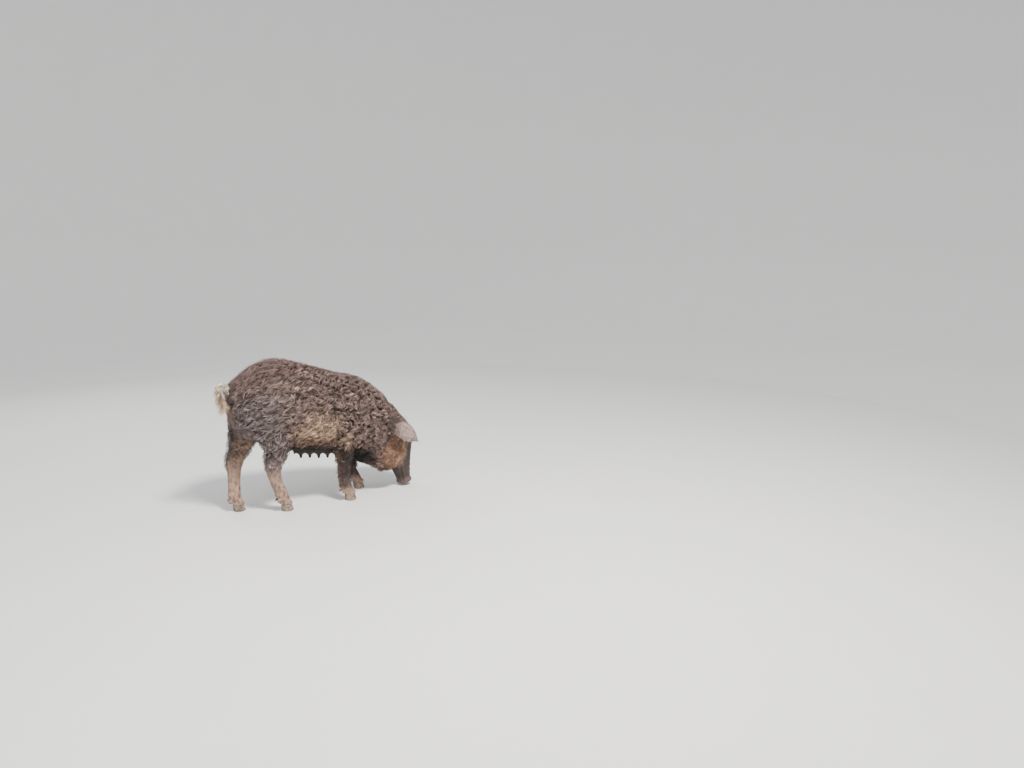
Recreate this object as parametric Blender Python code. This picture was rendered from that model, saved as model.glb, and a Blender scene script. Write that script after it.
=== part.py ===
"""A mangalica sow that stands and feeds with her head down, life size, as a still model.

Working frame: +X towards the snout, -Y is her right side, +Z up, feet at z = 0.
While she is built, x runs from the rump. At the end all of it is moved so that the
origin is the middle of the underside of her whole box.
"""

import math
import random

import bmesh
import bpy
from mathutils import Matrix, Vector
from mathutils.bvhtree import BVHTree

# Driving dimensions, in metres
COAT_BROWN = (0.20, 0.15, 0.12)
HORN = (0.05, 0.04, 0.035)
EYE_BROWN = (0.03, 0.02, 0.015)
GAP = 0.0003  # between nodes that touch
SEED = 8
FACE_SIDES = 18
BODY_SIDES = 22
LEG_SIDES = 12

# The coat: its core stands half way from the skin to the tips
CORE_BELOW_TIPS = 0.022
CORE_BELOW_BELLY = 0.008
CLUMP_PITCH = 0.096
CLUMP_LENGTH = 0.124
CLUMP_WIDTH = 0.100
CLUMP_HEIGHT = 0.027  # over the core
CLUMP_ROOT = 0.011  # sunk into the core
BELLY_ANGLE = 36  # degrees below level where the curls end on each side
THROAT_ANGLE = 76  # the same from the chest forward
CHEST = 0.670
LEG_CLUMP = (0.071, 0.088, 0.068, 0.013)  # pitch, length, width, height
SUNK_LEVEL = (1.0, 0.0)  # of a clump's rim: its share of the size, its lean forward
UPPER_LEVEL = (0.74, 0.11)  # of the ring near its top
REAR_CURL = (0.85, 0.85, 0.60)  # shares of the clump's length, width and height
THIGH_CURL = (0.78, 0.74, 0.60)
CROWN_CURL = (0.80, 0.80, 0.45)
JOWL_CURL = (0.72, 0.68, 0.48)
FLANK_CURL = 0.72  # share of the height on the lower flank
RUMP_FALL = 0.26  # behind this the coat hangs more steeply

# Stations of the trunk and neck, out to the tips of the coat: x, z, lean forward in degrees,
# half width, half height
TRUNK = (
    (0.022, 0.600, 0, 0.030, 0.040),
    (0.045, 0.592, 0, 0.110, 0.118),
    (0.100, 0.580, 0, 0.172, 0.172),
    (0.180, 0.585, 0, 0.200, 0.213),
    (0.260, 0.580, 0, 0.210, 0.245),
    (0.340, 0.562, 0, 0.213, 0.258),
    (0.430, 0.540, 0, 0.214, 0.255),
    (0.520, 0.518, 0, 0.212, 0.244),
    (0.610, 0.498, 2, 0.205, 0.230),
    (0.690, 0.475, 6, 0.194, 0.230),
    (0.745, 0.436, 11, 0.176, 0.234),
    (0.826, 0.382, 15, 0.158, 0.214),
    (0.878, 0.336, 14, 0.140, 0.190),
    (0.914, 0.320, 12, 0.100, 0.126),
)
# Stations of the head from crown to snout: x, z, lean in degrees, half width, half depth
HEAD = (
    (0.880, 0.488, 50, 0.046, 0.036),
    (0.892, 0.460, 58, 0.080, 0.073),
    (0.912, 0.409, 66, 0.098, 0.090),
    (0.935, 0.346, 70, 0.104, 0.108),
    (0.955, 0.280, 73, 0.098, 0.117),
    (0.972, 0.215, 75, 0.082, 0.100),
    (0.990, 0.158, 77, 0.066, 0.074),
    (1.003, 0.110, 78, 0.055, 0.057),
    (1.012, 0.070, 79, 0.047, 0.047),
    (1.018, 0.045, 80, 0.045, 0.043),
    (1.021, 0.034, 80, 0.051, 0.047),
    (1.023, 0.022, 80, 0.049, 0.045),
)
# Stations of each leg from inside the trunk to the coronet: x, y of the right leg, z,
# half length fore and aft, half width
LEGS = {
    "hind_right": (
        (0.185, -0.070, 0.600, 0.090, 0.060),
        (0.205, -0.102, 0.510, 0.125, 0.078),
        (0.238, -0.112, 0.410, 0.104, 0.075),
        (0.246, -0.103, 0.340, 0.076, 0.056),
        (0.224, -0.090, 0.268, 0.050, 0.038),
        (0.226, -0.083, 0.215, 0.037, 0.031),
        (0.243, -0.076, 0.150, 0.034, 0.029),
        (0.264, -0.072, 0.098, 0.034, 0.030),
        (0.276, -0.070, 0.066, 0.032, 0.031),
        (0.284, -0.070, 0.040, 0.035, 0.034),
    ),
    "hind_left": (
        (0.165, -0.070, 0.600, 0.080, 0.060),
        (0.152, -0.102, 0.510, 0.100, 0.078),
        (0.138, -0.112, 0.430, 0.094, 0.075),
        (0.112, -0.103, 0.350, 0.084, 0.056),
        (0.070, -0.090, 0.268, 0.052, 0.038),
        (0.062, -0.083, 0.205, 0.036, 0.031),
        (0.057, -0.076, 0.140, 0.033, 0.029),
        (0.055, -0.072, 0.092, 0.034, 0.030),
        (0.060, -0.070, 0.064, 0.032, 0.031),
        (0.066, -0.070, 0.040, 0.035, 0.034),
    ),
    "fore_right": (
        (0.640, -0.070, 0.520, 0.060, 0.050),
        (0.628, -0.105, 0.420, 0.085, 0.070),
        (0.616, -0.110, 0.330, 0.072, 0.058),
        (0.610, -0.106, 0.265, 0.060, 0.048),
        (0.607, -0.100, 0.200, 0.052, 0.041),
        (0.608, -0.096, 0.140, 0.044, 0.035),
        (0.616, -0.093, 0.090, 0.038, 0.033),
        (0.630, -0.091, 0.062, 0.032, 0.031),
        (0.638, -0.090, 0.040, 0.035, 0.034),
    ),
    "fore_left": (
        (0.650, -0.070, 0.520, 0.060, 0.050),
        (0.660, -0.105, 0.420, 0.085, 0.070),
        (0.676, -0.110, 0.330, 0.068, 0.058),
        (0.693, -0.106, 0.265, 0.053, 0.046),
        (0.712, -0.100, 0.200, 0.043, 0.038),
        (0.728, -0.096, 0.140, 0.034, 0.031),
        (0.742, -0.093, 0.090, 0.035, 0.032),
        (0.755, -0.091, 0.062, 0.032, 0.031),
        (0.763, -0.090, 0.040, 0.035, 0.034),
    ),
}
# Curls set by place: on the back of the rump, the crown and each jowl
REAR_ROWS = (0.655, 0.590, 0.525, 0.460)
REAR_COLUMNS = (-0.075, 0.0, 0.075)
REAR_REACH = 0.080
CROWN_CURLS = (
    (0.940, 0.000, 0.490),
    (0.905, 0.062, 0.505),
    (0.905, -0.062, 0.505),
    (0.985, 0.035, 0.440),
    (0.985, -0.035, 0.440),
)
JOWL = ((0.895, 0.058, 0.205), (0.082, 0.058, 0.088))  # middle and radii
JOWL_CURLS = (
    (0.912, 0.325),
    (0.900, 0.258),
    (0.868, 0.195),
    (0.922, 0.190),
    (0.885, 0.140),
)
# Rows of curls over the top of each leg
THIGH_ROWS = {
    "hind_right": (0.400, 0.335),
    "hind_left": (0.400, 0.335),
    "fore_right": (0.285,),
    "fore_left": (0.285,),
}
THIGH_REACH = 165  # degrees round the leg
THIGH_STEP = 66
# Where each leg parts from the trunk, and how far its own room reaches fore and aft
LEG_TOP = {"hind_right": 0.300, "hind_left": 0.300, "fore_right": 0.240, "fore_left": 0.240}
CURLS_ABOVE_TOP = 0.030  # a leg's own curls reach past its cut
LEG_ROOM = 0.080
LEG_INNER = 0.020
ROOM_OUTER = 0.300
ROOM_BELOW = -0.050
BARE_BELOW = {"hind": 0.235, "fore": 0.080}  # height under which a leg has no curls
LEG_CORE = (0.100, 0.012)  # height over which the core draws in, and how far
THIGH_FROM = 0.320
THIGH_CORE = 0.8  # share of the trunk's core depth

RUMP_END = 0.330
BARREL_END = 0.600
NECK_START = (0.735, 0.440, 9)  # x, z, lean
HEAD_START = (0.868, 0.365, 16)

CLAW_LENGTH = 0.062
CLAW_WIDTH = 0.030
TOE_AHEAD = 0.030  # of the middle of the coronet
CLEFT = 0.004
DEWCLAW_LENGTH = 0.030
DEWCLAW_RADIUS = 0.010
DEWCLAW_PLACE = (-0.022, 0.015, 0.010)  # from the pastern's middle
DEWCLAW_LIE = (-0.62, 0.18, -0.76)

EAR_ROOT = (0.880, -0.116, 0.418)
EAR_TIP = (1.045, -0.168, 0.300)
EAR_OUTWARD = (-0.35, -0.86, 0.37)
EAR_WIDTH = 0.056  # half, at the widest
EAR_CUP = 0.022
EAR_THICK = 0.0045
EAR_BOW = 0.030  # out of the straight line from root to tip
EAR_NECK = 0.16  # the share of its length at which the ear parts from the head

EYE_SPOT = (0.994, 0.344)  # x and z on the side of the head
EYE_RADIUS = 0.0125
EYE_OUT = -0.0060  # of its centre from the head's surface

# The tail's own line and radius, and the plane where it parts from the rump
TAIL = (
    (0.070, 0.000, 0.640, 0.023),
    (0.034, 0.000, 0.680, 0.021),
    (0.006, -0.002, 0.704, 0.018),
    (-0.012, -0.012, 0.703, 0.016),
    (-0.017, -0.028, 0.680, 0.014),
    (-0.013, -0.042, 0.648, 0.012),
    (-0.008, -0.050, 0.618, 0.010),
    (-0.006, -0.053, 0.590, 0.006),
)
TAIL_CUT = ((0.022, 0.000, 0.690), (-1.0, 0.0, 0.30))
TAIL_LOCKS = 8
TAIL_LOCK_LENGTH = 0.058
TAIL_LOCK_WIDTH = 0.028
TAIL_LOCK_THICK = 0.008
TAIL_LOCK_BOW = 0.010
TAIL_LOCK_SWAY = 0.006

# The mouth runs along the muzzle at this angle below level, between two stations of the head
MOUTH_ANGLE = 26
MOUTH_STATIONS = (5.4, 9.6)
MOUTH_RADIUS = 0.0042
LIP_RADIUS = 0.0065
LIP_ANGLE = 10
LIP_SUNK = 0.001
MOUTH_RISE = 10  # degrees that the corner of the mouth turns up
NOSTRIL = (0.018, 0.0085, 0.014)  # from the middle, radius and depth
LID_REACH = 0.017
LID_RADIUS = 0.0042
LID_LIFTS = (0.78, -0.66)  # how far each lid arches, in shares of its reach
LID_PROUD = 0.004
EYE_SLANT = (0.35, 0, -0.94)  # from its rear corner to its front one

TEATS = 5
TEAT_FIRST = 0.385
TEAT_LAST = 0.585
TEAT_ASIDE = 0.052
TEAT_HEIGHT = 0.300
TEAT_FALL = 0.030  # from the first to the last
# Height over the teat's root and radius, from inside the belly to the teat's end
GLAND = ((0.050, 0.030), (0.014, 0.033), (-0.002, 0.022), (-0.010, 0.009), (-0.031, 0.006))
EAR_CLEAR = 0.055  # kept free of curls round each ear's root, each eye and the tail
EYE_CLEAR = 0.045
TAIL_CLEAR = 0.045


def clear_scene():
    for thing in list(bpy.data.objects):
        bpy.data.objects.remove(thing, do_unlink=True)


def new_object(name, shape):
    """Turns a bmesh into a linked object with its faces pointing out."""
    bmesh.ops.recalc_face_normals(shape, faces=shape.faces[:])
    mesh = bpy.data.meshes.new(name)
    shape.to_mesh(mesh)
    shape.free()
    thing = bpy.data.objects.new(name, mesh)
    bpy.context.scene.collection.objects.link(thing)
    return thing


def loft(name, rings):
    """A closed body through rings that all have the same number of points."""
    shape = bmesh.new()
    rows = [[shape.verts.new(point) for point in ring] for ring in rings]
    count = len(rows[0])
    for lower, upper in zip(rows, rows[1:]):
        for i in range(count):
            j = (i + 1) % count
            shape.faces.new((lower[i], lower[j], upper[j], upper[i]))
    shape.faces.new(rows[0][::-1])
    shape.faces.new(rows[-1])
    return new_object(name, shape)


def smooth(stations, steps=2):
    """Catmull-Rom values between the stations, with the stations themselves kept."""
    out = []
    last = len(stations) - 1
    for i in range(last):
        a = stations[max(i - 1, 0)]
        b = stations[i]
        c = stations[i + 1]
        d = stations[min(i + 2, last)]
        for k in range(steps):
            t = k / steps
            out.append(tuple(spline(p, q, r, s, t) for p, q, r, s in zip(a, b, c, d)))
    out.append(tuple(stations[-1]))
    return out


def spline(p, q, r, s, t):
    bend = 2 * p - 5 * q + 4 * r - s
    twist = -p + 3 * q - 3 * r + s
    return 0.5 * (2 * q + (r - p) * t + bend * t * t + twist * t * t * t)


def rounded(angle, squareness):
    c = math.cos(angle)
    s = math.sin(angle)
    power = 2 / squareness
    return math.copysign(abs(c) ** power, c), math.copysign(abs(s) ** power, s)


def lean_ring(x, z, lean, half_width, half_height, sides, squareness=2.2):
    """A ring across the body whose top leans forward by lean degrees."""
    up = Vector((math.sin(math.radians(lean)), 0, math.cos(math.radians(lean))))
    ring = []
    for i in range(sides):
        c, s = rounded(2 * math.pi * i / sides, squareness)
        ring.append(Vector((x, half_width * c, z)) + up * half_height * s)
    return ring


def level_ring(x, y, z, half_length, half_width, sides):
    ring = []
    for i in range(sides):
        a = 2 * math.pi * i / sides
        ring.append(Vector((x + half_length * math.cos(a), y + half_width * math.sin(a), z)))
    return ring


def tube(name, points, sides):
    """A round tube through points of x, y, z and radius."""
    rings = []
    for i, (x, y, z, radius) in enumerate(points):
        before = Vector(points[max(i - 1, 0)][:3])
        after = Vector(points[min(i + 1, len(points) - 1)][:3])
        along = (after - before).normalized()
        side = along.cross(Vector((0, 1, 0))).normalized()
        other = along.cross(side)
        ring = []
        for k in range(sides):
            a = 2 * math.pi * k / sides
            ring.append(Vector((x, y, z)) + side * radius * math.cos(a) + other * radius * math.sin(a))
        rings.append(ring)
    return loft(name, rings)


def ball(name, centre, radii, turn=0.0, rounds=7, sides=10):
    shape = bmesh.new()
    bmesh.ops.create_uvsphere(shape, u_segments=sides, v_segments=rounds, radius=1.0)
    scale = Matrix.Diagonal((*radii, 1.0))
    place = Matrix.Translation(centre) @ Matrix.Rotation(turn, 4, "Y") @ scale
    bmesh.ops.transform(shape, matrix=place, verts=shape.verts[:])
    return new_object(name, shape)


def block(name, centre, half_sizes, lean=0.0):
    """A box, leaning forward by lean degrees."""
    shape = bmesh.new()
    bmesh.ops.create_cube(shape, size=2.0)
    scale = Matrix.Diagonal((*half_sizes, 1.0))
    place = Matrix.Translation(centre) @ Matrix.Rotation(math.radians(lean), 4, "Y") @ scale
    bmesh.ops.transform(shape, matrix=place, verts=shape.verts[:])
    return new_object(name, shape)


def combine(target, others, operation, solver="MANIFOLD"):
    """Applies one Boolean of a collection of closed bodies, which are then removed."""
    group = bpy.data.collections.new("pieces")
    bpy.context.scene.collection.children.link(group)
    for other in others:
        group.objects.link(other)
    modifier = target.modifiers.new("combine", "BOOLEAN")
    modifier.operation = operation
    modifier.solver = solver
    modifier.operand_type = "COLLECTION"
    modifier.collection = group
    bpy.context.view_layer.update()
    graph = bpy.context.evaluated_depsgraph_get()
    mesh = bpy.data.meshes.new_from_object(target.evaluated_get(graph))
    target.modifiers.clear()
    target.data = mesh
    for other in others:
        bpy.data.objects.remove(other, do_unlink=True)
    bpy.data.collections.remove(group)
    return target


def copy_of(thing, name):
    other = thing.copy()
    other.data = thing.data.copy()
    other.name = name
    bpy.context.scene.collection.objects.link(other)
    return other


def keep_largest(thing):
    """Keeps the largest closed surface of the object and drops the rest."""
    shape = bmesh.new()
    shape.from_mesh(thing.data)
    left = set(shape.faces)
    groups = []
    while left:
        todo = [left.pop()]
        group = list(todo)
        while todo:
            face = todo.pop()
            for edge in face.edges:
                for near in edge.link_faces:
                    if near in left:
                        left.remove(near)
                        todo.append(near)
                        group.append(near)
        groups.append(group)
    groups.sort(key=len, reverse=True)
    loose = [face for group in groups[1:] for face in group]
    if loose:
        bmesh.ops.delete(shape, geom=loose, context="FACES")
    shape.to_mesh(thing.data)
    shape.free()


def grown(thing, distance):
    """A copy of the object whose surface stands out by the distance."""
    other = copy_of(thing, "grown")
    normals = [vertex.normal.copy() for vertex in other.data.vertices]
    for vertex, normal in zip(other.data.vertices, normals):
        vertex.co += normal * distance
    return other


def surface_of(thing):
    shape = bmesh.new()
    shape.from_mesh(thing.data)
    tree = BVHTree.FromBMesh(shape)
    shape.free()
    return tree


def paint(thing, colour, roughness):
    material = bpy.data.materials.new(thing.name)
    material.use_nodes = True
    shader = material.node_tree.nodes["Principled BSDF"]
    shader.inputs["Base Color"].default_value = (*colour, 1.0)
    shader.inputs["Roughness"].default_value = roughness
    shader.inputs["Metallic"].default_value = 0.0
    thing.data.materials.clear()
    thing.data.materials.append(material)


def side_of(leg):
    return 1.0 if leg.endswith("left") else -1.0


def core_station(station):
    """A station of the trunk drawn in from the tips of the coat to its core."""
    x, z, lean, half_width, half_height = station
    up = Vector((math.sin(math.radians(lean)), 0, math.cos(math.radians(lean))))
    drawn = (CORE_BELOW_TIPS + CORE_BELOW_BELLY) / 2
    centre = Vector((x, 0, z)) - up * (CORE_BELOW_TIPS - CORE_BELOW_BELLY) / 2
    width = max(half_width - CORE_BELOW_TIPS, half_width * 0.4)
    return centre.x, centre.z, lean, width, max(half_height - drawn, half_height * 0.4)


def make_trunk():
    rings = [lean_ring(*core_station(station), BODY_SIDES) for station in TRUNK]
    return loft("trunk", rings)


def head_point(place, degrees, side, out=0.0):
    """A point on the head's side at a place among its stations, degrees below level."""
    first = int(place)
    share = place - first
    a = HEAD[first]
    b = HEAD[first + 1]
    x, z, lean, half_width, half_depth = (p + (q - p) * share for p, q in zip(a, b))
    up = Vector((math.sin(math.radians(lean)), 0, math.cos(math.radians(lean))))
    c, s = rounded(-math.radians(degrees), 2.1)
    return Vector((x, (half_width + out) * c * side, z)) + up * (half_depth + out) * s


def mouth_tube(name, side, degrees, radius, out=0.0):
    count = 7
    points = []
    for i in range(count):
        t = i / (count - 1)
        place = MOUTH_STATIONS[0] + (MOUTH_STATIONS[1] - MOUTH_STATIONS[0]) * t
        spot = head_point(place, degrees - MOUTH_RISE * (1 - t) ** 2, side, out)
        points.append((*spot, radius * (0.5 + 0.5 * min(1.0, 3 * t))))
    return tube(name, points, 5)


def make_head():
    """The head with its jowls and lips, the line of the mouth and the nostrils."""
    rings = [lean_ring(*station, FACE_SIDES, 2.1) for station in HEAD]
    head = loft("head_form", rings)
    added = []
    (x, y, z), radii = JOWL
    for side in (1, -1):
        added.append(ball("jowl", (x, y * side, z), radii, 0, 6, 10))
        added.append(mouth_tube("upper_lip", side, MOUTH_ANGLE - LIP_ANGLE, LIP_RADIUS, -LIP_SUNK))
        added.append(mouth_tube("lower_lip", side, MOUTH_ANGLE + LIP_ANGLE, LIP_RADIUS, -LIP_SUNK))
    combine(head, added, "UNION")
    cuts = [mouth_tube("mouth", side, MOUTH_ANGLE, MOUTH_RADIUS, LIP_SUNK) for side in (1, -1)]
    x, z, lean, _, _ = HEAD[-1]
    aside, radius, depth = NOSTRIL
    for side in (1, -1):
        cuts.append(ball("nostril", (x, aside * side, z), (depth, radius * 0.8, radius), math.radians(lean)))
    return combine(head, cuts, "DIFFERENCE")


def lids(spot, normal, side):
    """The two lids: tapered ridges over and under the eye that meet at its corners."""
    ahead = Vector(EYE_SLANT)
    ahead = (ahead - normal * ahead.dot(normal)).normalized()
    across = normal.cross(ahead).normalized()
    if across.x < 0:
        across = -across
    pieces = []
    for lift in LID_LIFTS:
        points = []
        for i in range(7):
            a = math.pi * i / 6
            arch = math.sin(a)
            place = spot + ahead * LID_REACH * math.cos(a) * 1.1 + across * LID_REACH * lift * arch
            place += normal * LID_PROUD * arch
            points.append((*place, LID_RADIUS * (0.45 + 0.55 * arch)))
        pieces.append(tube("lid", points, 6))
    return pieces


def leg_core(leg):
    """The leg's stations, drawn in from the tips of its curls to their core."""
    lowest = BARE_BELOW[leg[:4]]
    rise, full = LEG_CORE
    out = []
    for x, y, z, half_length, half_width in LEGS[leg]:
        drawn = 0.0
        if z > lowest:
            drawn = min((z - lowest) / rise, 1.0) * full
        if z > THIGH_FROM:
            drawn = CORE_BELOW_TIPS * THIGH_CORE
        out.append((x, y, z, half_length - drawn, half_width - drawn))
    return out


def make_leg(leg):
    rings = []
    for x, y, z, half_length, half_width in smooth(leg_core(leg)):
        rings.append(level_ring(x, -y * side_of(leg), z, half_length, half_width, LEG_SIDES))
    return loft("leg_" + leg + "_form", rings)


def clump(tree, spot, normal, lie, size, chance, corners=6):
    """A rounded curl of the coat: a dome that leans and swirls along its lie.

    Its rim is sunk below the surface it grows from, at every point.
    """
    length, width, height = size
    lie = (lie - normal * lie.dot(normal)).normalized()
    turn = Matrix.Rotation(math.radians(chance.uniform(-28, 28)), 3, normal)
    lie = turn @ lie
    across = normal.cross(lie)
    scale = chance.uniform(0.88, 1.12)
    swirl = math.radians(chance.uniform(12, 30)) * chance.choice((-1, 1))
    rim, lean = SUNK_LEVEL
    high, tilt = UPPER_LEVEL
    levels = ((rim, -CLUMP_ROOT, lean), (high, height * high, tilt))
    shape = bmesh.new()
    rows = []
    for k, (spread, rise, forward) in enumerate(levels):
        row = []
        for i in range(corners):
            a = 2 * math.pi * i / corners + swirl * k
            along = math.cos(a) * length / 2 * spread + forward * length
            aside = math.sin(a) * width / 2 * spread * (1 - 0.22 * math.cos(a))
            flat = spot + (lie * along + across * aside) * scale
            near, out, _, _ = tree.find_nearest(flat)
            row.append(shape.verts.new(near + (out * 0.7 + normal * 0.3).normalized() * rise * scale))
        rows.append(row)
    near, out, _, _ = tree.find_nearest(spot + lie * 0.20 * length * scale)
    top = shape.verts.new(near + out * height * scale * 1.03)
    for lower, upper in zip(rows, rows[1:]):
        for i in range(corners):
            j = (i + 1) % corners
            shape.faces.new((lower[i], lower[j], upper[j]))
            shape.faces.new((lower[i], upper[j], upper[i]))
    for i in range(corners):
        shape.faces.new((rows[-1][i], rows[-1][(i + 1) % corners], top))
    shape.faces.new(rows[0][::-1])
    return new_object("clump", shape)


def spots_round(station, low, high, pitch, offset, squareness=2.2):
    """Angles in degrees, evenly spaced along a ring between two angles."""
    _, _, _, half_width, half_height = station
    count = 90
    steps = []
    total = 0.0
    before = None
    for i in range(count + 1):
        degrees = low + (high - low) * i / count
        c, s = rounded(math.radians(degrees), squareness)
        point = Vector((half_width * c, half_height * s))
        if before is not None:
            total += (point - before).length
        before = point
        steps.append((total, degrees))
    number = max(1, round(total / pitch))
    out = []
    for k in range(number):
        want = total * (k + 0.25 + 0.5 * offset) / number
        out.append(min(steps, key=lambda step: abs(step[0] - want))[1])
    return out


def along_trunk(pitch):
    """Stations of the trunk one pitch apart, with the direction of the body there."""
    fine = smooth(TRUNK, 8)
    out = []
    first = 9
    last = -12
    gone = pitch * 0.75
    before = fine[first - 1]
    for station in fine[first:last]:
        step = Vector((station[0] - before[0], station[1] - before[1])).length
        gone += step
        before = station
        if gone >= pitch:
            gone = 0.0
            out.append(station)
    return out


def clump_size(shares):
    full = (CLUMP_LENGTH, CLUMP_WIDTH, CLUMP_HEIGHT)
    return tuple(size * share for size, share in zip(full, shares))


def near_any(spot, keep_off):
    return any((spot - point).length < distance for point, distance in keep_off)


def trunk_coat(tree, chance, keep_off):
    """Curls in staggered rows over the rump, barrel, shoulder and neck."""
    clumps = []
    for row, station in enumerate(along_trunk(CLUMP_PITCH)):
        x, z, lean, half_width, half_height = station
        up = Vector((math.sin(math.radians(lean)), 0, math.cos(math.radians(lean))))
        forward = Vector((up.z, 0, -up.x))
        low = -THROAT_ANGLE if x > CHEST else -BELLY_ANGLE
        for degrees in spots_round(station, low, 180 - low, CLUMP_PITCH, row % 2):
            jitter = chance.uniform(-2.0, 2.0)
            c, s = rounded(math.radians(degrees + jitter), 2.2)
            aim = (Vector((0, half_width * c, 0)) + up * half_height * s).normalized()
            shift = forward * chance.uniform(-0.010, 0.010)
            centre = Vector((x, 0, z)) + shift
            spot, normal, _, _ = tree.ray_cast(centre + aim * 0.6, -aim)
            if spot is None or near_any(spot, keep_off):
                continue
            down = Vector((0, 0, -1))
            share = 0.25 + 0.55 * (1 - max(s, 0.0))
            if x < RUMP_FALL:
                share += 0.5
            lie = -forward + down * share
            height = CLUMP_HEIGHT
            if s < -0.1:
                height *= FLANK_CURL
            clumps.append(clump(tree, spot, normal, lie, (CLUMP_LENGTH, CLUMP_WIDTH, height), chance))
    return clumps


def rear_coat(tree, chance, keep_off):
    """Curls on the back of the rump, below and beside the tail."""
    clumps = []
    for row, z in enumerate(REAR_ROWS):
        for y in REAR_COLUMNS:
            y_here = y + (0.03 if row % 2 else 0.0)
            spot, normal, _, _ = tree.ray_cast(Vector((-0.4, y_here, z)), Vector((1, 0, 0)))
            if spot is None or spot.x > REAR_REACH or near_any(spot, keep_off):
                continue
            size = clump_size(REAR_CURL)
            clumps.append(clump(tree, spot, normal, Vector((0.1, 0, -1)), size, chance))
    return clumps


def thigh_coat(tree, leg, chance, keep_off):
    """Curls over the top of a leg, from where it parts up to the curls of the trunk."""
    clumps = []
    stations = smooth(LEGS[leg], 8)
    side = side_of(leg)
    for row, z in enumerate(THIGH_ROWS[leg]):
        x, y, _, half_length, half_width = min(stations, key=lambda station: abs(station[2] - z))
        centre = Vector((x, -y * side, z))
        for degrees in range(-THIGH_REACH, THIGH_REACH + 1, THIGH_STEP):
            a = math.radians(degrees + 25 * (row % 2))
            aim = Vector((math.cos(a) * half_length, math.sin(a) * half_width * side, 0)).normalized()
            if aim.y * side < -0.3:
                continue
            spot, normal, _, _ = tree.ray_cast(centre + aim * 0.3, -aim)
            if spot is None or near_any(spot, keep_off):
                continue
            size = clump_size(THIGH_CURL)
            clumps.append(clump(tree, spot, normal, Vector((-0.25, 0, -1)), size, chance))
    return clumps


def leg_coat(tree, leg, chance, lowest, highest):
    """Small curls round one leg, which lie down it."""
    pitch, length, width, height = LEG_CLUMP
    stations = smooth(LEGS[leg], 8)
    clumps = []
    z = highest
    row = 0
    while z > lowest:
        x, y, _, half_length, half_width = min(stations, key=lambda station: abs(station[2] - z))
        centre = Vector((x, -y * side_of(leg), z))
        number = max(4, round(2 * math.pi * (half_length + half_width) / 2 / pitch))
        for i in range(number):
            a = 2 * math.pi * (i + 0.5 * (row % 2)) / number + chance.uniform(-0.1, 0.1)
            aim = Vector((math.cos(a) * half_length, math.sin(a) * half_width, 0)).normalized()
            spot, normal, _, _ = tree.ray_cast(centre + aim * 0.3, -aim)
            if spot is None:
                continue
            size = (length, width, height)
            clumps.append(clump(tree, spot, normal, Vector((-0.15, 0, -1)), size, chance, 5))
        z -= pitch
        row += 1
    return clumps


def head_coat(tree, chance, keep_off):
    """Curls over the crown and longer hair on the jowls."""
    clumps = []
    for x, y, z in CROWN_CURLS:
        spot, normal, _, _ = tree.find_nearest(Vector((x, y, z)))
        size = clump_size(CROWN_CURL)
        clumps.append(clump(tree, spot, normal, Vector((0.5, 0, -0.8)), size, chance))
    for side in (1, -1):
        for x, z in JOWL_CURLS:
            spot, normal, _, _ = tree.ray_cast(Vector((x, side * 0.5, z)), Vector((0, -side, 0)))
            if spot is None or near_any(spot, keep_off):
                continue
            size = clump_size(JOWL_CURL)
            clumps.append(clump(tree, spot, normal, Vector((-0.6, 0, -0.8)), size, chance))
    return clumps


def tail_locks(chance):
    """Flat tapered locks that hang from the tail and make its tassel."""
    line = smooth(TAIL, 4)[9:]
    locks = []
    for i in range(TAIL_LOCKS):
        t = (i + 0.5) / TAIL_LOCKS
        index = min(int(t * (len(line) - 1)), len(line) - 2)
        x, y, z, radius = line[index]
        length = TAIL_LOCK_LENGTH * chance.uniform(0.8, 1.15) * (0.65 + 0.45 * t)
        turn = chance.uniform(-1.2, 1.2) + math.pi * 1.08
        away = Vector((math.cos(turn), math.sin(turn) * 0.9, 0))
        broad = Vector((-away.y, away.x, 0))
        rings = []
        for share, spread in ((0.0, 0.7), (0.3, 1.0), (0.65, 0.75), (1.0, 0.16)):
            drop = length * share
            bow = TAIL_LOCK_BOW * math.sin(math.pi * share * 0.9) + radius * 0.45
            centre = Vector((x, y, z + 0.004 - drop)) + away * bow
            centre += broad * TAIL_LOCK_SWAY * math.sin(3.0 * share + i)
            half = TAIL_LOCK_WIDTH / 2 * spread
            thick = TAIL_LOCK_THICK / 2 * (1.1 - 0.6 * share)
            across = broad * half
            through = away * thick
            rings.append([centre + across, centre + through, centre - across, centre - through])
        locks.append(loft("lock", rings))
    return locks


def leg_room(leg, grow):
    """The leg's own room: a leaning box from below the floor to where the leg begins."""
    stations = LEGS[leg]
    foot = stations[-1]
    top = LEG_TOP[leg]
    upper = min(stations, key=lambda station: abs(station[2] - top))
    slope = (upper[0] - foot[0]) / (upper[2] - foot[2])
    shape = bmesh.new()
    corners = []
    for z in (ROOM_BELOW, top + grow):
        x = foot[0] + slope * (z - foot[2])
        for dx in (-LEG_ROOM - grow, LEG_ROOM + grow):
            for y in (LEG_INNER - grow, ROOM_OUTER):
                corners.append(shape.verts.new((x + dx, y * side_of(leg), z)))
    bmesh.ops.convex_hull(shape, input=corners)
    return new_object("room", shape)


def make_udder():
    """Two rows of glands along the belly, each a low mound that ends in its teat."""
    glands = []
    for i in range(TEATS):
        x = TEAT_FIRST + (TEAT_LAST - TEAT_FIRST) * i / (TEATS - 1)
        floor = TEAT_HEIGHT - TEAT_FALL * i / (TEATS - 1)
        for y in (TEAT_ASIDE, -TEAT_ASIDE):
            points = [(x, y, floor + rise, radius) for rise, radius in GLAND]
            glands.append(tube("gland", points, 8))
    return glands


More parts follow.
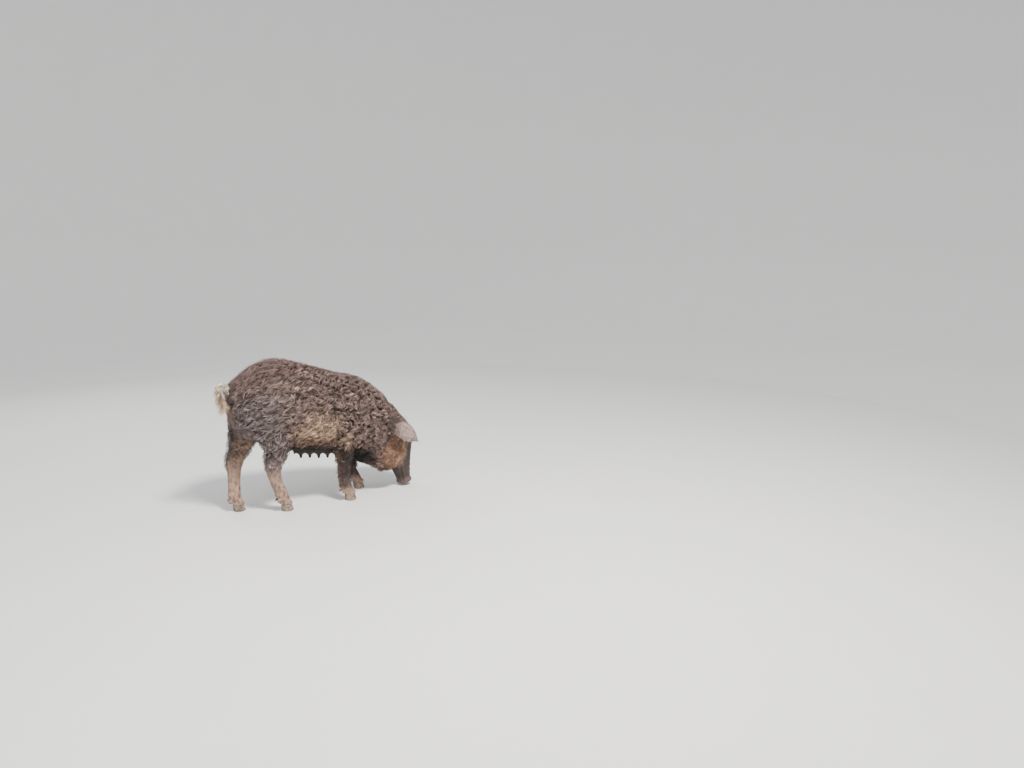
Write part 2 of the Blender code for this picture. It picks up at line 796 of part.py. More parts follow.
def ear_line(side):
    """The root, the direction and the length of one ear."""
    root = Vector((EAR_ROOT[0], -EAR_ROOT[1] * side, EAR_ROOT[2]))
    tip = Vector((EAR_TIP[0], -EAR_TIP[1] * side, EAR_TIP[2]))
    return root, (tip - root).normalized(), (tip - root).length


def make_ear(side, wide=6, count=11):
    """A cupped leaf that hangs forward from a narrow root, its hollow turned in and down."""
    root, along, length = ear_line(side)
    outward = Vector((EAR_OUTWARD[0], -EAR_OUTWARD[1] * side, EAR_OUTWARD[2]))
    outward = (outward - along * outward.dot(along)).normalized()
    across = along.cross(outward)
    rings = []
    for k in range(count):
        t = k / (count - 1)
        open_up = 0.50 + 0.50 * math.sin(math.pi / 2 * min(t * 1.25, 1.0))
        half = EAR_WIDTH * open_up * (1 - t ** 3.2) + 0.002
        cup = 2 * EAR_CUP * (1 - 0.7 * t) * half / EAR_WIDTH
        bow = EAR_BOW * (math.sin(math.pi * t) - t * t)
        middle = root + along * length * (t * 1.06 - 0.06) + outward * bow
        outer = []
        inner = []
        for i in range(wide + 1):
            s = 2 * i / wide - 1
            point = middle + across * half * s + outward * cup * (1 - s * s)
            thick = EAR_THICK * (1 - 0.5 * abs(s)) * (1 - 0.5 * t)
            outer.append(point + outward * thick)
            inner.append(point - outward * thick)
        rings.append(outer + inner[::-1])
    return loft("ear_form", rings)


def make_claw(leg, part):
    """One half of the cloven hoof; part is 1 for the outer claw and -1 for the inner."""
    foot = LEGS[leg][-1]
    side = side_of(leg)
    middle = -foot[1] * side
    front = foot[0] + TOE_AHEAD
    rings = []
    levels = ((0.0, 1.0, 0.012), (0.012, 0.98, 0.008), (foot[2] - GAP, 0.84, 0.0))
    for z, size, forward in levels:
        outline = (
            (-CLAW_LENGTH * size, CLEFT / 2),
            (-CLAW_LENGTH * size * 0.98, CLAW_WIDTH * 0.75 * size),
            (-CLAW_LENGTH * size * 0.60, CLAW_WIDTH * size),
            (-CLAW_LENGTH * size * 0.28, CLAW_WIDTH * 0.92 * size),
            (-CLAW_LENGTH * size * 0.06, CLAW_WIDTH * 0.55 * size),
            (0.0, CLEFT / 2 + 0.004),
            (-0.004, CLEFT / 2),
        )
        ring = [Vector((front + forward + dx, middle + dy * part * side, z)) for dx, dy in outline]
        rings.append(ring)
    which = "outer" if part > 0 else "inner"
    return loft("claw_" + leg + "_" + which, rings)


def dewclaw(name, leg, part, grow):
    foot = LEGS[leg][-2]
    side = side_of(leg)
    x = foot[0] + DEWCLAW_PLACE[0]
    y = (DEWCLAW_PLACE[1] * part - foot[1]) * side
    z = foot[2] + DEWCLAW_PLACE[2]
    drop = Vector((DEWCLAW_LIE[0], DEWCLAW_LIE[1] * part * side, DEWCLAW_LIE[2])).normalized()
    start = Vector((x, y, z)) - drop * grow
    points = []
    for t, size in ((0.0, 1.0), (0.55, 0.86), (0.9, 0.5), (1.0, 0.2)):
        spot = start + drop * (DEWCLAW_LENGTH + 2 * grow) * t
        points.append((spot.x, spot.y, spot.z, DEWCLAW_RADIUS * size + grow))
    return tube(name, points, 6)


def half_space(name, x, z, lean, forward):
    """A large box whose one face crosses the body at x, z with its top leaning forward."""
    reach = 1.5
    a = math.radians(lean)
    along = Vector((math.cos(a), 0, -math.sin(a)))
    centre = Vector((x, 0, z)) + along * (reach + GAP / 2) * forward
    return block(name, centre, (reach, reach, reach), lean)


def part_off(thing, name, point, along):
    """Cuts the object at a plane: what lies beyond it becomes the named node, the rest stays."""
    reach = 0.3
    turn = along.to_track_quat("Z", "Y").to_matrix().to_4x4()
    boxes = []
    for sign in (1, -1):
        shape = bmesh.new()
        bmesh.ops.create_cube(shape, size=2.0)
        centre = point + along * (reach + GAP / 2) * sign
        place = Matrix.Translation(centre) @ turn @ Matrix.Scale(reach, 4)
        bmesh.ops.transform(shape, matrix=place, verts=shape.verts[:])
        boxes.append(new_object("half", shape))
    node = combine(copy_of(thing, name), [boxes[0]], "INTERSECT")
    keep_largest(node)
    combine(thing, [boxes[1]], "INTERSECT")
    return node


def make_ears(nodes):
    """Adds the ear nodes and gives back their roots, which grow from the head."""
    roots = []
    for side, name in ((1, "ear_left"), (-1, "ear_right")):
        ear = make_ear(side)
        root, along, length = ear_line(side)
        nodes[name] = part_off(ear, name, root + along * length * EAR_NECK, along)
        roots.append(ear)
    return roots


def make_tail(nodes, chance):
    """Adds the tail node, its locks fused to it, and gives back its root on the rump."""
    whole_tail = tube("tail_form", smooth(TAIL, 1), 8)
    along = Vector(TAIL_CUT[1]).normalized()
    node = part_off(whole_tail, "tail", Vector(TAIL_CUT[0]), along)
    combine(node, tail_locks(chance), "UNION")
    keep_largest(node)
    nodes["tail"] = node
    return whole_tail


def make_legs(nodes, chance):
    """Adds the leg nodes, which begin below LEG_TOP, and gives back the whole legs."""
    cores = []
    for leg in LEGS:
        core = make_leg(leg)
        cores.append(core)
        node = copy_of(core, "leg_" + leg)
        highest = LEG_TOP[leg] + CURLS_ABOVE_TOP
        curls = leg_coat(surface_of(core), leg, chance, BARE_BELOW[leg[:4]], highest)
        combine(node, curls, "UNION")
        combine(node, [leg_room(leg, 0.0)], "INTERSECT")
        keep_largest(node)
        nodes[node.name] = node
        for part, which in ((1, "outer"), (-1, "inner")):
            claw = make_claw(leg, part)
            nodes[claw.name] = claw
            name = "dewclaw_" + leg + "_" + which
            combine(node, [dewclaw("seat", leg, part, GAP)], "DIFFERENCE")
            nodes[name] = dewclaw(name, leg, part, 0.0)
    return cores


def open_eyes(nodes, head):
    """Gives the head its lids and sockets, and adds an eyeball in each."""
    for side, name in ((1, "eye_left"), (-1, "eye_right")):
        start = Vector((EYE_SPOT[0], side, EYE_SPOT[1]))
        spot, normal, _, _ = surface_of(head).ray_cast(start, Vector((0, -side, 0)))
        centre = spot + normal * EYE_OUT
        combine(head, lids(spot, normal, side), "UNION")
        combine(head, [ball("socket", centre, (EYE_RADIUS + GAP,) * 3)], "DIFFERENCE")
        nodes[name] = ball(name, centre, (EYE_RADIUS,) * 3)


def cut_up(nodes, whole):
    """Parts the whole body into its nodes with thin plane cuts."""
    cuts = (
        ("torso_rump", RUMP_END, 0.5, 0),
        ("torso_barrel", BARREL_END, 0.5, 0),
        ("torso_shoulder", *NECK_START),
        ("neck", *HEAD_START),
    )
    for name, x, z, lean in cuts:
        piece = copy_of(whole, name)
        combine(piece, [half_space("behind", x, z, lean, -1)], "INTERSECT")
        keep_largest(piece)
        combine(whole, [half_space("ahead", x, z, lean, 1)], "INTERSECT")
        keep_largest(whole)
        nodes[name] = piece
    whole.name = "head"
    nodes["head"] = whole


def kept_clear(side):
    """Places that the curls keep off: round each ear's root and each eye."""
    root, along, length = ear_line(side)
    eye = Vector((EYE_SPOT[0], 0.095 * side, EYE_SPOT[1]))
    places = [(root + along * length * t, EAR_CLEAR) for t in (0.0, 0.15, 0.3, 0.5)]
    return places + [(eye, EYE_CLEAR)]


def build():
    chance = random.Random(SEED)
    nodes = {}
    clear_scene()
    legs = make_legs(nodes, chance)
    tail_root = make_tail(nodes, chance)
    ear_roots = make_ears(nodes)
    whole = make_trunk()
    combine(whole, legs + [make_head(), tail_root] + ear_roots + make_udder(), "UNION")
    keep_largest(whole)
    tree = surface_of(whole)
    keep_off = kept_clear(1) + kept_clear(-1)
    keep_off.append((Vector(TAIL_CUT[0]), TAIL_CLEAR))
    curls = trunk_coat(tree, chance, keep_off)
    curls += rear_coat(tree, chance, keep_off)
    curls += head_coat(tree, chance, keep_off)
    for leg in LEGS:
        curls += thigh_coat(tree, leg, chance, keep_off)
    combine(whole, curls, "UNION")
    combine(whole, [leg_room(leg, GAP) for leg in LEGS], "DIFFERENCE")
    keep_largest(whole)
    body = grown(whole, 2 * GAP)
    for name in ("ear_left", "ear_right", "tail"):
        combine(nodes[name], [copy_of(body, "body")], "DIFFERENCE")
        keep_largest(nodes[name])
    bpy.data.objects.remove(body, do_unlink=True)
    cut_up(nodes, whole)
    open_eyes(nodes, nodes["head"])
    for name, thing in nodes.items():
        thing.name = name
    return nodes


def move_to_origin(nodes):
    """Moves everything so that the origin is the middle of the underside of its box."""
    points = [v.co for thing in nodes.values() for v in thing.data.vertices]
    low = [min(p[i] for p in points) for i in range(3)]
    high = [max(p[i] for p in points) for i in range(3)]
    shift = Vector((-(low[0] + high[0]) / 2, -(low[1] + high[1]) / 2, 0.0))
    for thing in nodes.values():
        thing.data.transform(Matrix.Translation(shift))


def paint_all(nodes):
    for name, thing in nodes.items():
        if "claw" in name:
            paint(thing, HORN, 0.6)
        elif name.startswith("eye"):
            paint(thing, EYE_BROWN, 0.1)
        else:
            paint(thing, COAT_BROWN, 0.85)


pieces = build()
move_to_origin(pieces)
paint_all(pieces)
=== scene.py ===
"""The dressed model of a mangalica sow: skin, curly coat, hooves, eyes, floor, lights and camera.

The forms are built in the same working frame as the solids, with x from the rump, and are
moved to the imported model's frame at the end. Lengths are in metres, angles in degrees.
"""

import itertools
import math

import bmesh
import bpy
import numpy as np
from mathutils import Matrix, Vector


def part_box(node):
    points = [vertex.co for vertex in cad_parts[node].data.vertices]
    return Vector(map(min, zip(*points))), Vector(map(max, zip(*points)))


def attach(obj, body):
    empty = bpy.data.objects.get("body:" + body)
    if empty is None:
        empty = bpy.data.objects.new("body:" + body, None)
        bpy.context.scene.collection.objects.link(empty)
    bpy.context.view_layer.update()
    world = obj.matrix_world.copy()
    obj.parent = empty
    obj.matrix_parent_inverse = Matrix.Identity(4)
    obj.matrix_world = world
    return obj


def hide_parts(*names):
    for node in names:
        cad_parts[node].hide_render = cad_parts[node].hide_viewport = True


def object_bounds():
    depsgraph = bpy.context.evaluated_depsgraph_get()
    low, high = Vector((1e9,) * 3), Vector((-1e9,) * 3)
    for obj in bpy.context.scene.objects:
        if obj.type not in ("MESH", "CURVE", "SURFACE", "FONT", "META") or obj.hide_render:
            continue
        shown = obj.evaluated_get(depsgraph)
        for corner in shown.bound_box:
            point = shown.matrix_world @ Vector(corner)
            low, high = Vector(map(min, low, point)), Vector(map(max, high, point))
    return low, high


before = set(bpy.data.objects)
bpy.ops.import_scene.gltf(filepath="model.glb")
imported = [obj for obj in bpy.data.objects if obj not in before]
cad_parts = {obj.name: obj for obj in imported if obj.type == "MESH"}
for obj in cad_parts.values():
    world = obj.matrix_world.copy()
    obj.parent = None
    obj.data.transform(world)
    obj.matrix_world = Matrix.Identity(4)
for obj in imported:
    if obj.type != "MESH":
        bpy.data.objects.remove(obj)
CAD_LOW, CAD_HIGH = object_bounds()

SEED = 11


def metres(*rows, angles=None):
    """A table of whole millimetres in metres, apart from its column of angles."""
    return [[v if k == angles else v / 1000 for k, v in enumerate(row)] for row in rows]


# The tables of stations and of the tail are in whole millimetres.
# Stations of the trunk and neck, out to the tips of the coat: x, z, lean, half width, half height
TRUNK = metres(
    (22, 600, 0, 30, 40),
    (45, 592, 0, 110, 118),
    (100, 580, 0, 172, 172),
    (180, 585, 0, 200, 213),
    (260, 580, 0, 210, 245),
    (340, 562, 0, 213, 258),
    (430, 540, 0, 214, 255),
    (520, 518, 0, 212, 244),
    (610, 498, 2, 205, 230),
    (690, 475, 6, 194, 230),
    (745, 436, 11, 176, 234),
    (826, 382, 15, 158, 214),
    (878, 336, 14, 140, 190),
    (914, 320, 12, 100, 126),
    angles=2,
)
# Stations of the head from crown to snout: x, z, lean, half width, half depth
HEAD = metres(
    (880, 488, 50, 46, 36),
    (892, 460, 58, 80, 73),
    (912, 409, 66, 98, 90),
    (935, 346, 70, 104, 108),
    (955, 280, 73, 98, 117),
    (972, 215, 75, 82, 100),
    (990, 158, 77, 66, 74),
    (1003, 110, 78, 55, 57),
    (1012, 70, 79, 47, 47),
    (1018, 45, 80, 45, 43),
    (1021, 34, 80, 51, 47),
    (1023, 22, 80, 49, 45),
    angles=2,
)
# Stations of each leg from inside the trunk to the coronet, all given as on the right side:
# x, y, z, half length, half width
LEGS = {
    "hind_right": metres(
        (185, -70, 600, 90, 60),
        (205, -102, 510, 125, 78),
        (238, -112, 410, 104, 75),
        (246, -103, 340, 76, 56),
        (224, -90, 268, 50, 38),
        (226, -83, 215, 37, 31),
        (243, -76, 150, 34, 29),
        (264, -72, 98, 34, 30),
        (276, -70, 66, 32, 31),
        (284, -70, 40, 35, 34),
    ),
    "hind_left": metres(
        (165, -70, 600, 80, 60),
        (152, -102, 510, 100, 78),
        (138, -112, 430, 94, 75),
        (112, -103, 350, 84, 56),
        (70, -90, 268, 52, 38),
        (62, -83, 205, 36, 31),
        (57, -76, 140, 33, 29),
        (55, -72, 92, 34, 30),
        (60, -70, 64, 32, 31),
        (66, -70, 40, 35, 34),
    ),
    "fore_right": metres(
        (640, -70, 520, 60, 50),
        (628, -105, 420, 85, 70),
        (616, -110, 330, 72, 58),
        (610, -106, 265, 60, 48),
        (607, -100, 200, 52, 41),
        (608, -96, 140, 44, 35),
        (616, -93, 90, 38, 33),
        (630, -91, 62, 32, 31),
        (638, -90, 40, 35, 34),
    ),
    "fore_left": metres(
        (650, -70, 520, 60, 50),
        (660, -105, 420, 85, 70),
        (676, -110, 330, 68, 58),
        (693, -106, 265, 53, 46),
        (712, -100, 200, 43, 38),
        (728, -96, 140, 34, 31),
        (742, -93, 90, 35, 32),
        (755, -91, 62, 32, 31),
        (763, -90, 40, 35, 34),
    ),
}
# The tail's line and radius
TAIL = metres(
    (70, 0, 640, 23),
    (34, 0, 680, 21),
    (6, -2, 704, 18),
    (-12, -12, 703, 16),
    (-17, -28, 680, 14),
    (-13, -42, 648, 12),
    (-8, -50, 618, 10),
    (-6, -53, 590, 6),
)
TAIL_CORE = 0.62  # of that radius, which reaches to the tips of its hair
EARS = ((1, "ear_left"), (-1, "ear_right"))
EAR_ROOT = (0.880, -0.116, 0.418)
EAR_TIP = (1.045, -0.168, 0.300)
EAR_OUTWARD = (-0.35, -0.86, 0.37)
EAR_WIDTH = 0.056
EAR_CUP = 0.022
EAR_THICK = 0.0045
EAR_BOW = 0.030
HEAD_SQUARE = 2.1  # 2 is an ellipse, more is squarer
MOUTH_ANGLE = 26
MOUTH_STATIONS = (5.4, 9.6)
LIP_ANGLE = 10
NOSTRIL = (0.018, 0.0085, 0.014)  # aside, radius, depth
EYE_RADIUS = 0.0125
EYE_NORMAL = (0.25, -0.93, 0.26)
LID_REACH = 0.017
# Lift, reach, radius and place forward of the two lids and the two folds round them
LIDS = (
    (0.80, 1.0, 0.0040, 0.000),
    (-0.68, 1.0, 0.0036, 0.000),
    (1.55, 1.15, 0.0050, -0.006),
    (-1.35, 1.05, 0.0036, -0.006),
)
TEATS = 5
TEAT_FIRST = 0.385
TEAT_LAST = 0.585
TEAT_ASIDE = 0.052
TEAT_HEIGHT = 0.300
# Height and radius of each ring of one gland, from inside the belly to the teat's tip
GLAND = (
    (0.060, 0.036),
    (0.030, 0.041),
    (0.012, 0.036),
    (0.000, 0.023),
    (-0.006, 0.012),
    (-0.012, 0.0095),
    (-0.026, 0.0085),
    (-0.030, 0.0060),
)
HOOF_FRONT = 0.030  # ahead of the coronet's middle
HOOF_TOE = 0.012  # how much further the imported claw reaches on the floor
HOOF_LENGTH = 0.062
HOOF_WIDTH = 0.030
# Height, size and place forward of each ring of a claw
HOOF_RINGS = (
    (0.0005, 0.955, 0.0105),
    (0.0000, 0.975, 0.0110),
    (0.0030, 0.992, 0.0108),
    (0.0120, 0.975, 0.0080),
    (0.0220, 0.930, 0.0045),
    (0.0300, 0.885, 0.0020),
    (0.0330, 0.890, 0.0010),
    (0.0365, 0.880, 0.0005),
    (0.0395, 0.820, 0.0000),
)

# How far the skin lies below the tips of the coat
COAT_DEPTH = 0.028
RUMP_DEPTH = 0.021
CROWN_DEPTH = 0.012
BELLY_DEPTH = 0.013
FACE_DEPTH = 0.002
LEG_DEPTH = 0.016
WOOL_FROM = {"fore": 0.080, "hind": 0.235}  # height from which a leg's coat is long
BODY_VOXEL = 0.0050
HEAD_VOXEL = 0.0026

# The coat
CANDIDATES = 150000  # random points, of which the coat's tufts are chosen
SHORT_HAIR = 0.006  # depth below which hair lies flat
FLAT_STRETCH = 3.4  # length of a flat hair over its depth
STRAND_LEAN = (60, 40)  # off upright at the root, and how much less with full curl
STRAND_TURN = (98, 270)  # heading of the tip, and how much more with full curl
FLAT_LEAN = 72
FLAT_TURN = 97
STRAND_TONE = 0.32  # spread of lightness from strand to strand
TUFT_TONE = 0.34  # and from tuft to tuft
FLOOR_GAP = 0.004
TUFT_GAP = 0.80  # least distance between tufts over their pitch
# Painted shade: the skin is darkened more the deeper the coat, between these depths
COVER = (0.004, 0.026)  # depths of coat that hide nothing and all of the skin
PATCH = 0.003  # of one tuft on its piece's unwrap
TASSEL_REACH = 0.027  # how far hairs may pass the rear of the solids
PIECE_LIMIT = 190000  # triangles in one piece of the coat

# How near a point seems to a part, for sharing the skin out between the parts
TRUNK_REACH = 1.02
EAR_NEARER = 0.96
CHEEK_NEARER = 0.45  # how much nearer to the head the cheek's mark makes it

# Middles and half sizes of the marks on both sides
CHEEK = ((0.928, 0.085, 0.225), (0.095, 0.095, 0.120))
JOWL = ((0.890, 0.070, 0.215), (0.110, 0.110, 0.120))
FLANK = ((0.458, 0.190, 0.430), (0.140, 0.140, 0.118))
# A painted highlight at the elbow
ELBOW_HIGHLIGHT = ((0.622, 0.160, 0.368), (0.036, 0.080, 0.066))
# Painted shade in the crease between shoulder and flank
CREASE_SHADE = ((0.580, 0.170, 0.390), (0.040, 0.090, 0.115))

# Markings, as sRGB tones; the dark, face and foreleg tones also serve as painted shade, and the
# flank tone as a painted highlight
TONES = {
    "coat": (130, 109, 101),
    "back": (125, 101, 94),
    "haunch": (130, 116, 113),
    "flank": (200, 168, 140),
    "rust": (150, 112, 84),
    "dark": (33, 25, 23),
    "cheek": (160, 121, 95),
    # The face's dark skin and the snout, both darkened further as painted shade from the ear
    "face": (56, 48, 47),
    "ear": (170, 147, 138),
    "mud": (166, 136, 116),
    "foreleg": (72, 60, 56),
    "cream": (236, 222, 200),
    "tassel": (190, 164, 136),
    "snout": (88, 73, 70),
}

# The camera, in the working frame of the solids
CAMERA_PLACE = (-0.931, -4.056, 1.395)
CAMERA_AIM = (0.5507, 0.8164, -0.1736)
CAMERA_LENS = 27.07
LIGHT_AIM = (0, 0, 0.4)
# Radius and height of the floor's rings, which rise far off all round
STAGE = ((5.2, 0.0), (7.0, 0.35), (8.6, 1.5), (9.8, 3.6), (10.4, 6.6), (10.5, 9.0))

FLESH = (
    *("torso_rump", "torso_barrel", "torso_shoulder", "neck", "head", "tail"),
    *("ear_left", "ear_right", "leg_hind_left", "leg_hind_right"),
    *("leg_fore_left", "leg_fore_right"),
)


def linear(name):
    tone = np.array(TONES[name], float) / 255
    return np.where(tone <= 0.04045, tone / 12.92, ((tone + 0.055) / 1.055) ** 2.4)


def spline(p, q, r, s, t):
    bend = 2 * p - 5 * q + 4 * r - s
    twist = -p + 3 * q - 3 * r + s
    return 0.5 * (2 * q + (r - p) * t + bend * t * t + twist * t * t * t)


def smooth(stations, steps):
    """Catmull-Rom values between the stations, with the stations themselves kept."""
    out = []
    last = len(stations) - 1
    for i in range(last):
        four = [stations[k] for k in (max(i - 1, 0), i, i + 1, min(i + 2, last))]
        for k in range(steps):
            out.append(tuple(spline(*values, k / steps) for values in zip(*four)))
    out.append(tuple(stations[-1]))
    return out


def circle(sides):
    """Cosine and sine of even steps round a circle."""
    angles = [2 * math.pi * i / sides for i in range(sides)]
    return [(math.cos(a), math.sin(a)) for a in angles]


def rounded(angle, squareness):
    """Cosine and sine of a point on a rounded square."""
    c = math.cos(angle)
    s = math.sin(angle)
    power = 2 / squareness
    return math.copysign(abs(c) ** power, c), math.copysign(abs(s) ** power, s)


def lean_up(lean):
    """The way up in a cross-section that leans forward."""
    a = math.radians(lean)
    return math.sin(a), 0, math.cos(a)


def side_of(leg):
    return 1.0 if leg.endswith("left") else -1.0


def on_side(place, side):
    """A place or direction given for the right, as it is on the side asked for."""
    return Vector((place[0], -place[1] * side, place[2]))


def assign(thing, **settings):
    for key, value in settings.items():
        setattr(thing, key, value)
    return thing


def linked(name, data):
    """A new object of the scene."""
    thing = bpy.data.objects.new(name, data)
    bpy.context.scene.collection.objects.link(thing)
    return thing


def meshed(name, shape):
    mesh = bpy.data.meshes.new(name)
    shape.to_mesh(mesh)
    shape.free()
    return linked(name, mesh)


def new_object(name, shape):
    bmesh.ops.recalc_face_normals(shape, faces=shape.faces[:])
    return meshed(name, shape)


def join_rows(shape, rows):
    """Quads between neighbouring rings of vertices."""
    count = len(rows[0])
    for lower, upper in zip(rows, rows[1:]):
        for i in range(count):
            j = (i + 1) % count
            shape.faces.new((lower[i], lower[j], upper[j], upper[i]))


def loft(name, rings):
    """A closed body through rings that all have the same number of points."""
    shape = bmesh.new()
    rows = [[shape.verts.new(point) for point in ring] for ring in rings]
    join_rows(shape, rows)
    shape.faces.new(rows[0][::-1])
    shape.faces.new(rows[-1])
    return new_object(name, shape)


def lean_ring(x, z, lean, half_width, half_height, sides, squareness=2.2):
    up = Vector(lean_up(lean))
    ring = []
    for i in range(sides):
        c, s = rounded(2 * math.pi * (i + 0.5) / sides, squareness)
        ring.append(Vector((x, half_width * c, z)) + up * half_height * s)
    return ring


def tube(name, points, sides):
    """A round tube through points of x, y, z and radius."""
    rings = []
    for i, (x, y, z, radius) in enumerate(points):
        before = Vector(points[max(i - 1, 0)][:3])
        after = Vector(points[min(i + 1, len(points) - 1)][:3])
        along = (after - before).normalized()
        side = along.cross(Vector((0, 1, 0)))
        if side.length < 0.1:
            side = along.cross(Vector((1, 0, 0)))
        side.normalize()
        other = along.cross(side)
        middle = Vector((x, y, z))
        rings.append([middle + side * radius * c + other * radius * s for c, s in circle(sides)])
    return loft(name, rings)


def ball(name, centre, radii, turn=0.0):
    shape = bmesh.new()
    bmesh.ops.create_uvsphere(shape, u_segments=24, v_segments=16, radius=1.0)
    scale = Matrix.Diagonal((*radii, 1.0))
    place = Matrix.Translation(centre) @ Matrix.Rotation(turn, 4, "Y") @ scale
    bmesh.ops.transform(shape, matrix=place, verts=shape.verts[:])
    return new_object(name, shape)


def applied(thing):
    """Replaces the object's mesh by its mesh with the modifiers applied."""
    bpy.context.view_layer.update()
    graph = bpy.context.evaluated_depsgraph_get()
    mesh = bpy.data.meshes.new_from_object(thing.evaluated_get(graph))
    thing.modifiers.clear()
    thing.data = mesh
    return thing


def combine(target, others, operation):
    """Applies one Boolean of a collection of closed bodies, which are then removed."""
    group = bpy.data.collections.new("pieces")
    bpy.context.scene.collection.children.link(group)
    for other in others:
        group.objects.link(other)
    modifier = target.modifiers.new("combine", "BOOLEAN")
    assign(modifier, operation=operation, solver="MANIFOLD", operand_type="COLLECTION")
    modifier.collection = group
    applied(target)
    for other in others:
        bpy.data.objects.remove(other, do_unlink=True)
    bpy.data.collections.remove(group)


def fused(name, things, voxel, rounds):
    """One even mesh over overlapping closed bodies, with their meeting lines rounded off."""
    shape = bmesh.new()
    for thing in things:
        shape.from_mesh(thing.data)
        bpy.data.objects.remove(thing, do_unlink=True)
    out = meshed(name, shape)
    assign(out.modifiers.new("even", "REMESH"), mode="VOXEL", voxel_size=voxel)
    assign(out.modifiers.new("soften", "SMOOTH"), factor=0.5, iterations=rounds)
    return applied(out)


def trunk_coat(x):
    """Depth of the coat of the trunk: shorter on the haunches than on the shoulders."""
    return RUMP_DEPTH + (COAT_DEPTH - RUMP_DEPTH) * ramp(x, 0.20, 0.42)


def skin_station(station):
    """A station of the trunk drawn in from the tips of the coat to the skin."""
    x, z, lean, half_width, half_height = station
    coat_here = float(trunk_coat(x))
    centre = Vector((x, 0, z)) - Vector(lean_up(lean)) * (coat_here - BELLY_DEPTH) / 2
    width = max(half_width - coat_here, half_width * 0.25)
    height = max(half_height - (coat_here + BELLY_DEPTH) / 2, half_height * 0.25)
    ahead = coat_here * 0.8 * max(0.0, 1 - (x - TRUNK[0][0]) / 0.15)
    return centre.x + ahead, centre.z, lean, width, height


def leg_skin(leg):
    """The stations of a leg drawn in from the tips of its coat to the skin."""
    lowest = WOOL_FROM[leg[:4]]
    out = []
    for x, y, z, half_length, half_width in LEGS[leg]:
        drawn = 0.001
        if z > lowest:
            drawn += min((z - lowest) / 0.10, 1.0) * LEG_DEPTH
        if z > 0.32:
            drawn = RUMP_DEPTH
        out.append((x, y, z, half_length - drawn, half_width - drawn))
    return out


def leg_forms(leg):
    """A leg with its joint, heel cord and pastern."""
    side = side_of(leg)

    def spot(station, dx=0.0, dz=0.0):
        x, y, z = LEGS[leg][station][:3]
        return x + dx, -y * side, z + dz

    rings = []
    for x, y, z, half_length, half_width in smooth(leg_skin(leg), 6):
        y = -y * side
        rings.append([Vector((x + half_length * c, y + half_width * s, z)) for c, s in circle(28)])
    forms = [loft("leg", rings)]
    if leg.startswith("hind"):
        forms.append(ball("hock", spot(4, -0.027, 0.004), (0.016, 0.014, 0.026)))
        high = Vector(spot(3, -0.052, 0.010))
        low = Vector(spot(4, -0.030, 0.012))
        points = [(*high.lerp(low, t), 0.011 - 0.002 * t) for t in (0, 0.25, 0.5, 0.75, 1)]
        forms.append(tube("cord", points, 12))
        fetlock = 7
    else:
        forms.append(ball("knee", spot(5, 0.008, 0.006), (0.029, 0.030, 0.030)))
        fetlock = 6
    forms.append(ball("fetlock", spot(fetlock, -0.004, -0.002), (0.034, 0.031, 0.020)))
    x, y, z = LEGS[leg][-1][:3]
    for part in (1, -1):
        centre = (x + 0.006, (-y + 0.0150 * part) * side, z + 0.004)
        forms.append(ball("crown", centre, (0.030, 0.0175, 0.013)))
    return forms


def udder_forms():
    glands = []
    for i in range(TEATS):
        x = TEAT_FIRST + (TEAT_LAST - TEAT_FIRST) * i / (TEATS - 1)
        floor = TEAT_HEIGHT - 0.030 * i / (TEATS - 1)
        for y in (TEAT_ASIDE, -TEAT_ASIDE):
            points = [(x, y, floor + rise, radius) for rise, radius in GLAND]
            glands.append(tube("gland", points, 20))
    return glands


def head_point(place, degrees, side, out=0.0):
    """A point on the head between two stations, at an angle below level."""
    first = int(place)
    share = place - first
    pair = zip(HEAD[first], HEAD[first + 1])
    x, z, lean, half_width, half_depth = (p + (q - p) * share for p, q in pair)
    c, s = rounded(-math.radians(degrees), HEAD_SQUARE)
    up = Vector(lean_up(lean))
    return Vector((x, (half_width + out) * c * side, z)) + up * (half_depth + out) * s


def mouth_tube(name, side, degrees, radius, out=0.0):
    points = []
    for i in range(13):
        t = i / 12
        place = MOUTH_STATIONS[0] + (MOUTH_STATIONS[1] - MOUTH_STATIONS[0]) * t
        spot = head_point(place, degrees - 10 * (1 - t) ** 2, side, out)
        points.append((*spot, radius * (0.5 + 0.5 * min(1.0, 3 * t))))
    return tube(name, points, 12)


def eye_place(side):
    """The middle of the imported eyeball, in the working frame."""
    low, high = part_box("eye_left" if side > 0 else "eye_right")
    return (low + high) / 2 - SHIFT


def lid_tube(centre, normal, lift, reach, radius, forward):
    """A ridge that arches over or under the eye from corner to corner."""
    ahead = Vector((0.35, 0, -0.94))
    ahead = (ahead - normal * ahead.dot(normal)).normalized()
    across = normal.cross(ahead).normalized()
    if across.x < 0:
        across = -across
    points = []
    for i in range(13):
        a = math.pi * i / 12
        arch = math.sin(a)
        place = centre + ahead * reach * math.cos(a) * 1.1 + across * reach * lift * arch
        place += normal * (forward + 0.004 * arch)
        points.append((*place, radius * (0.45 + 0.55 * arch)))
    return tube("lid", points, 12)


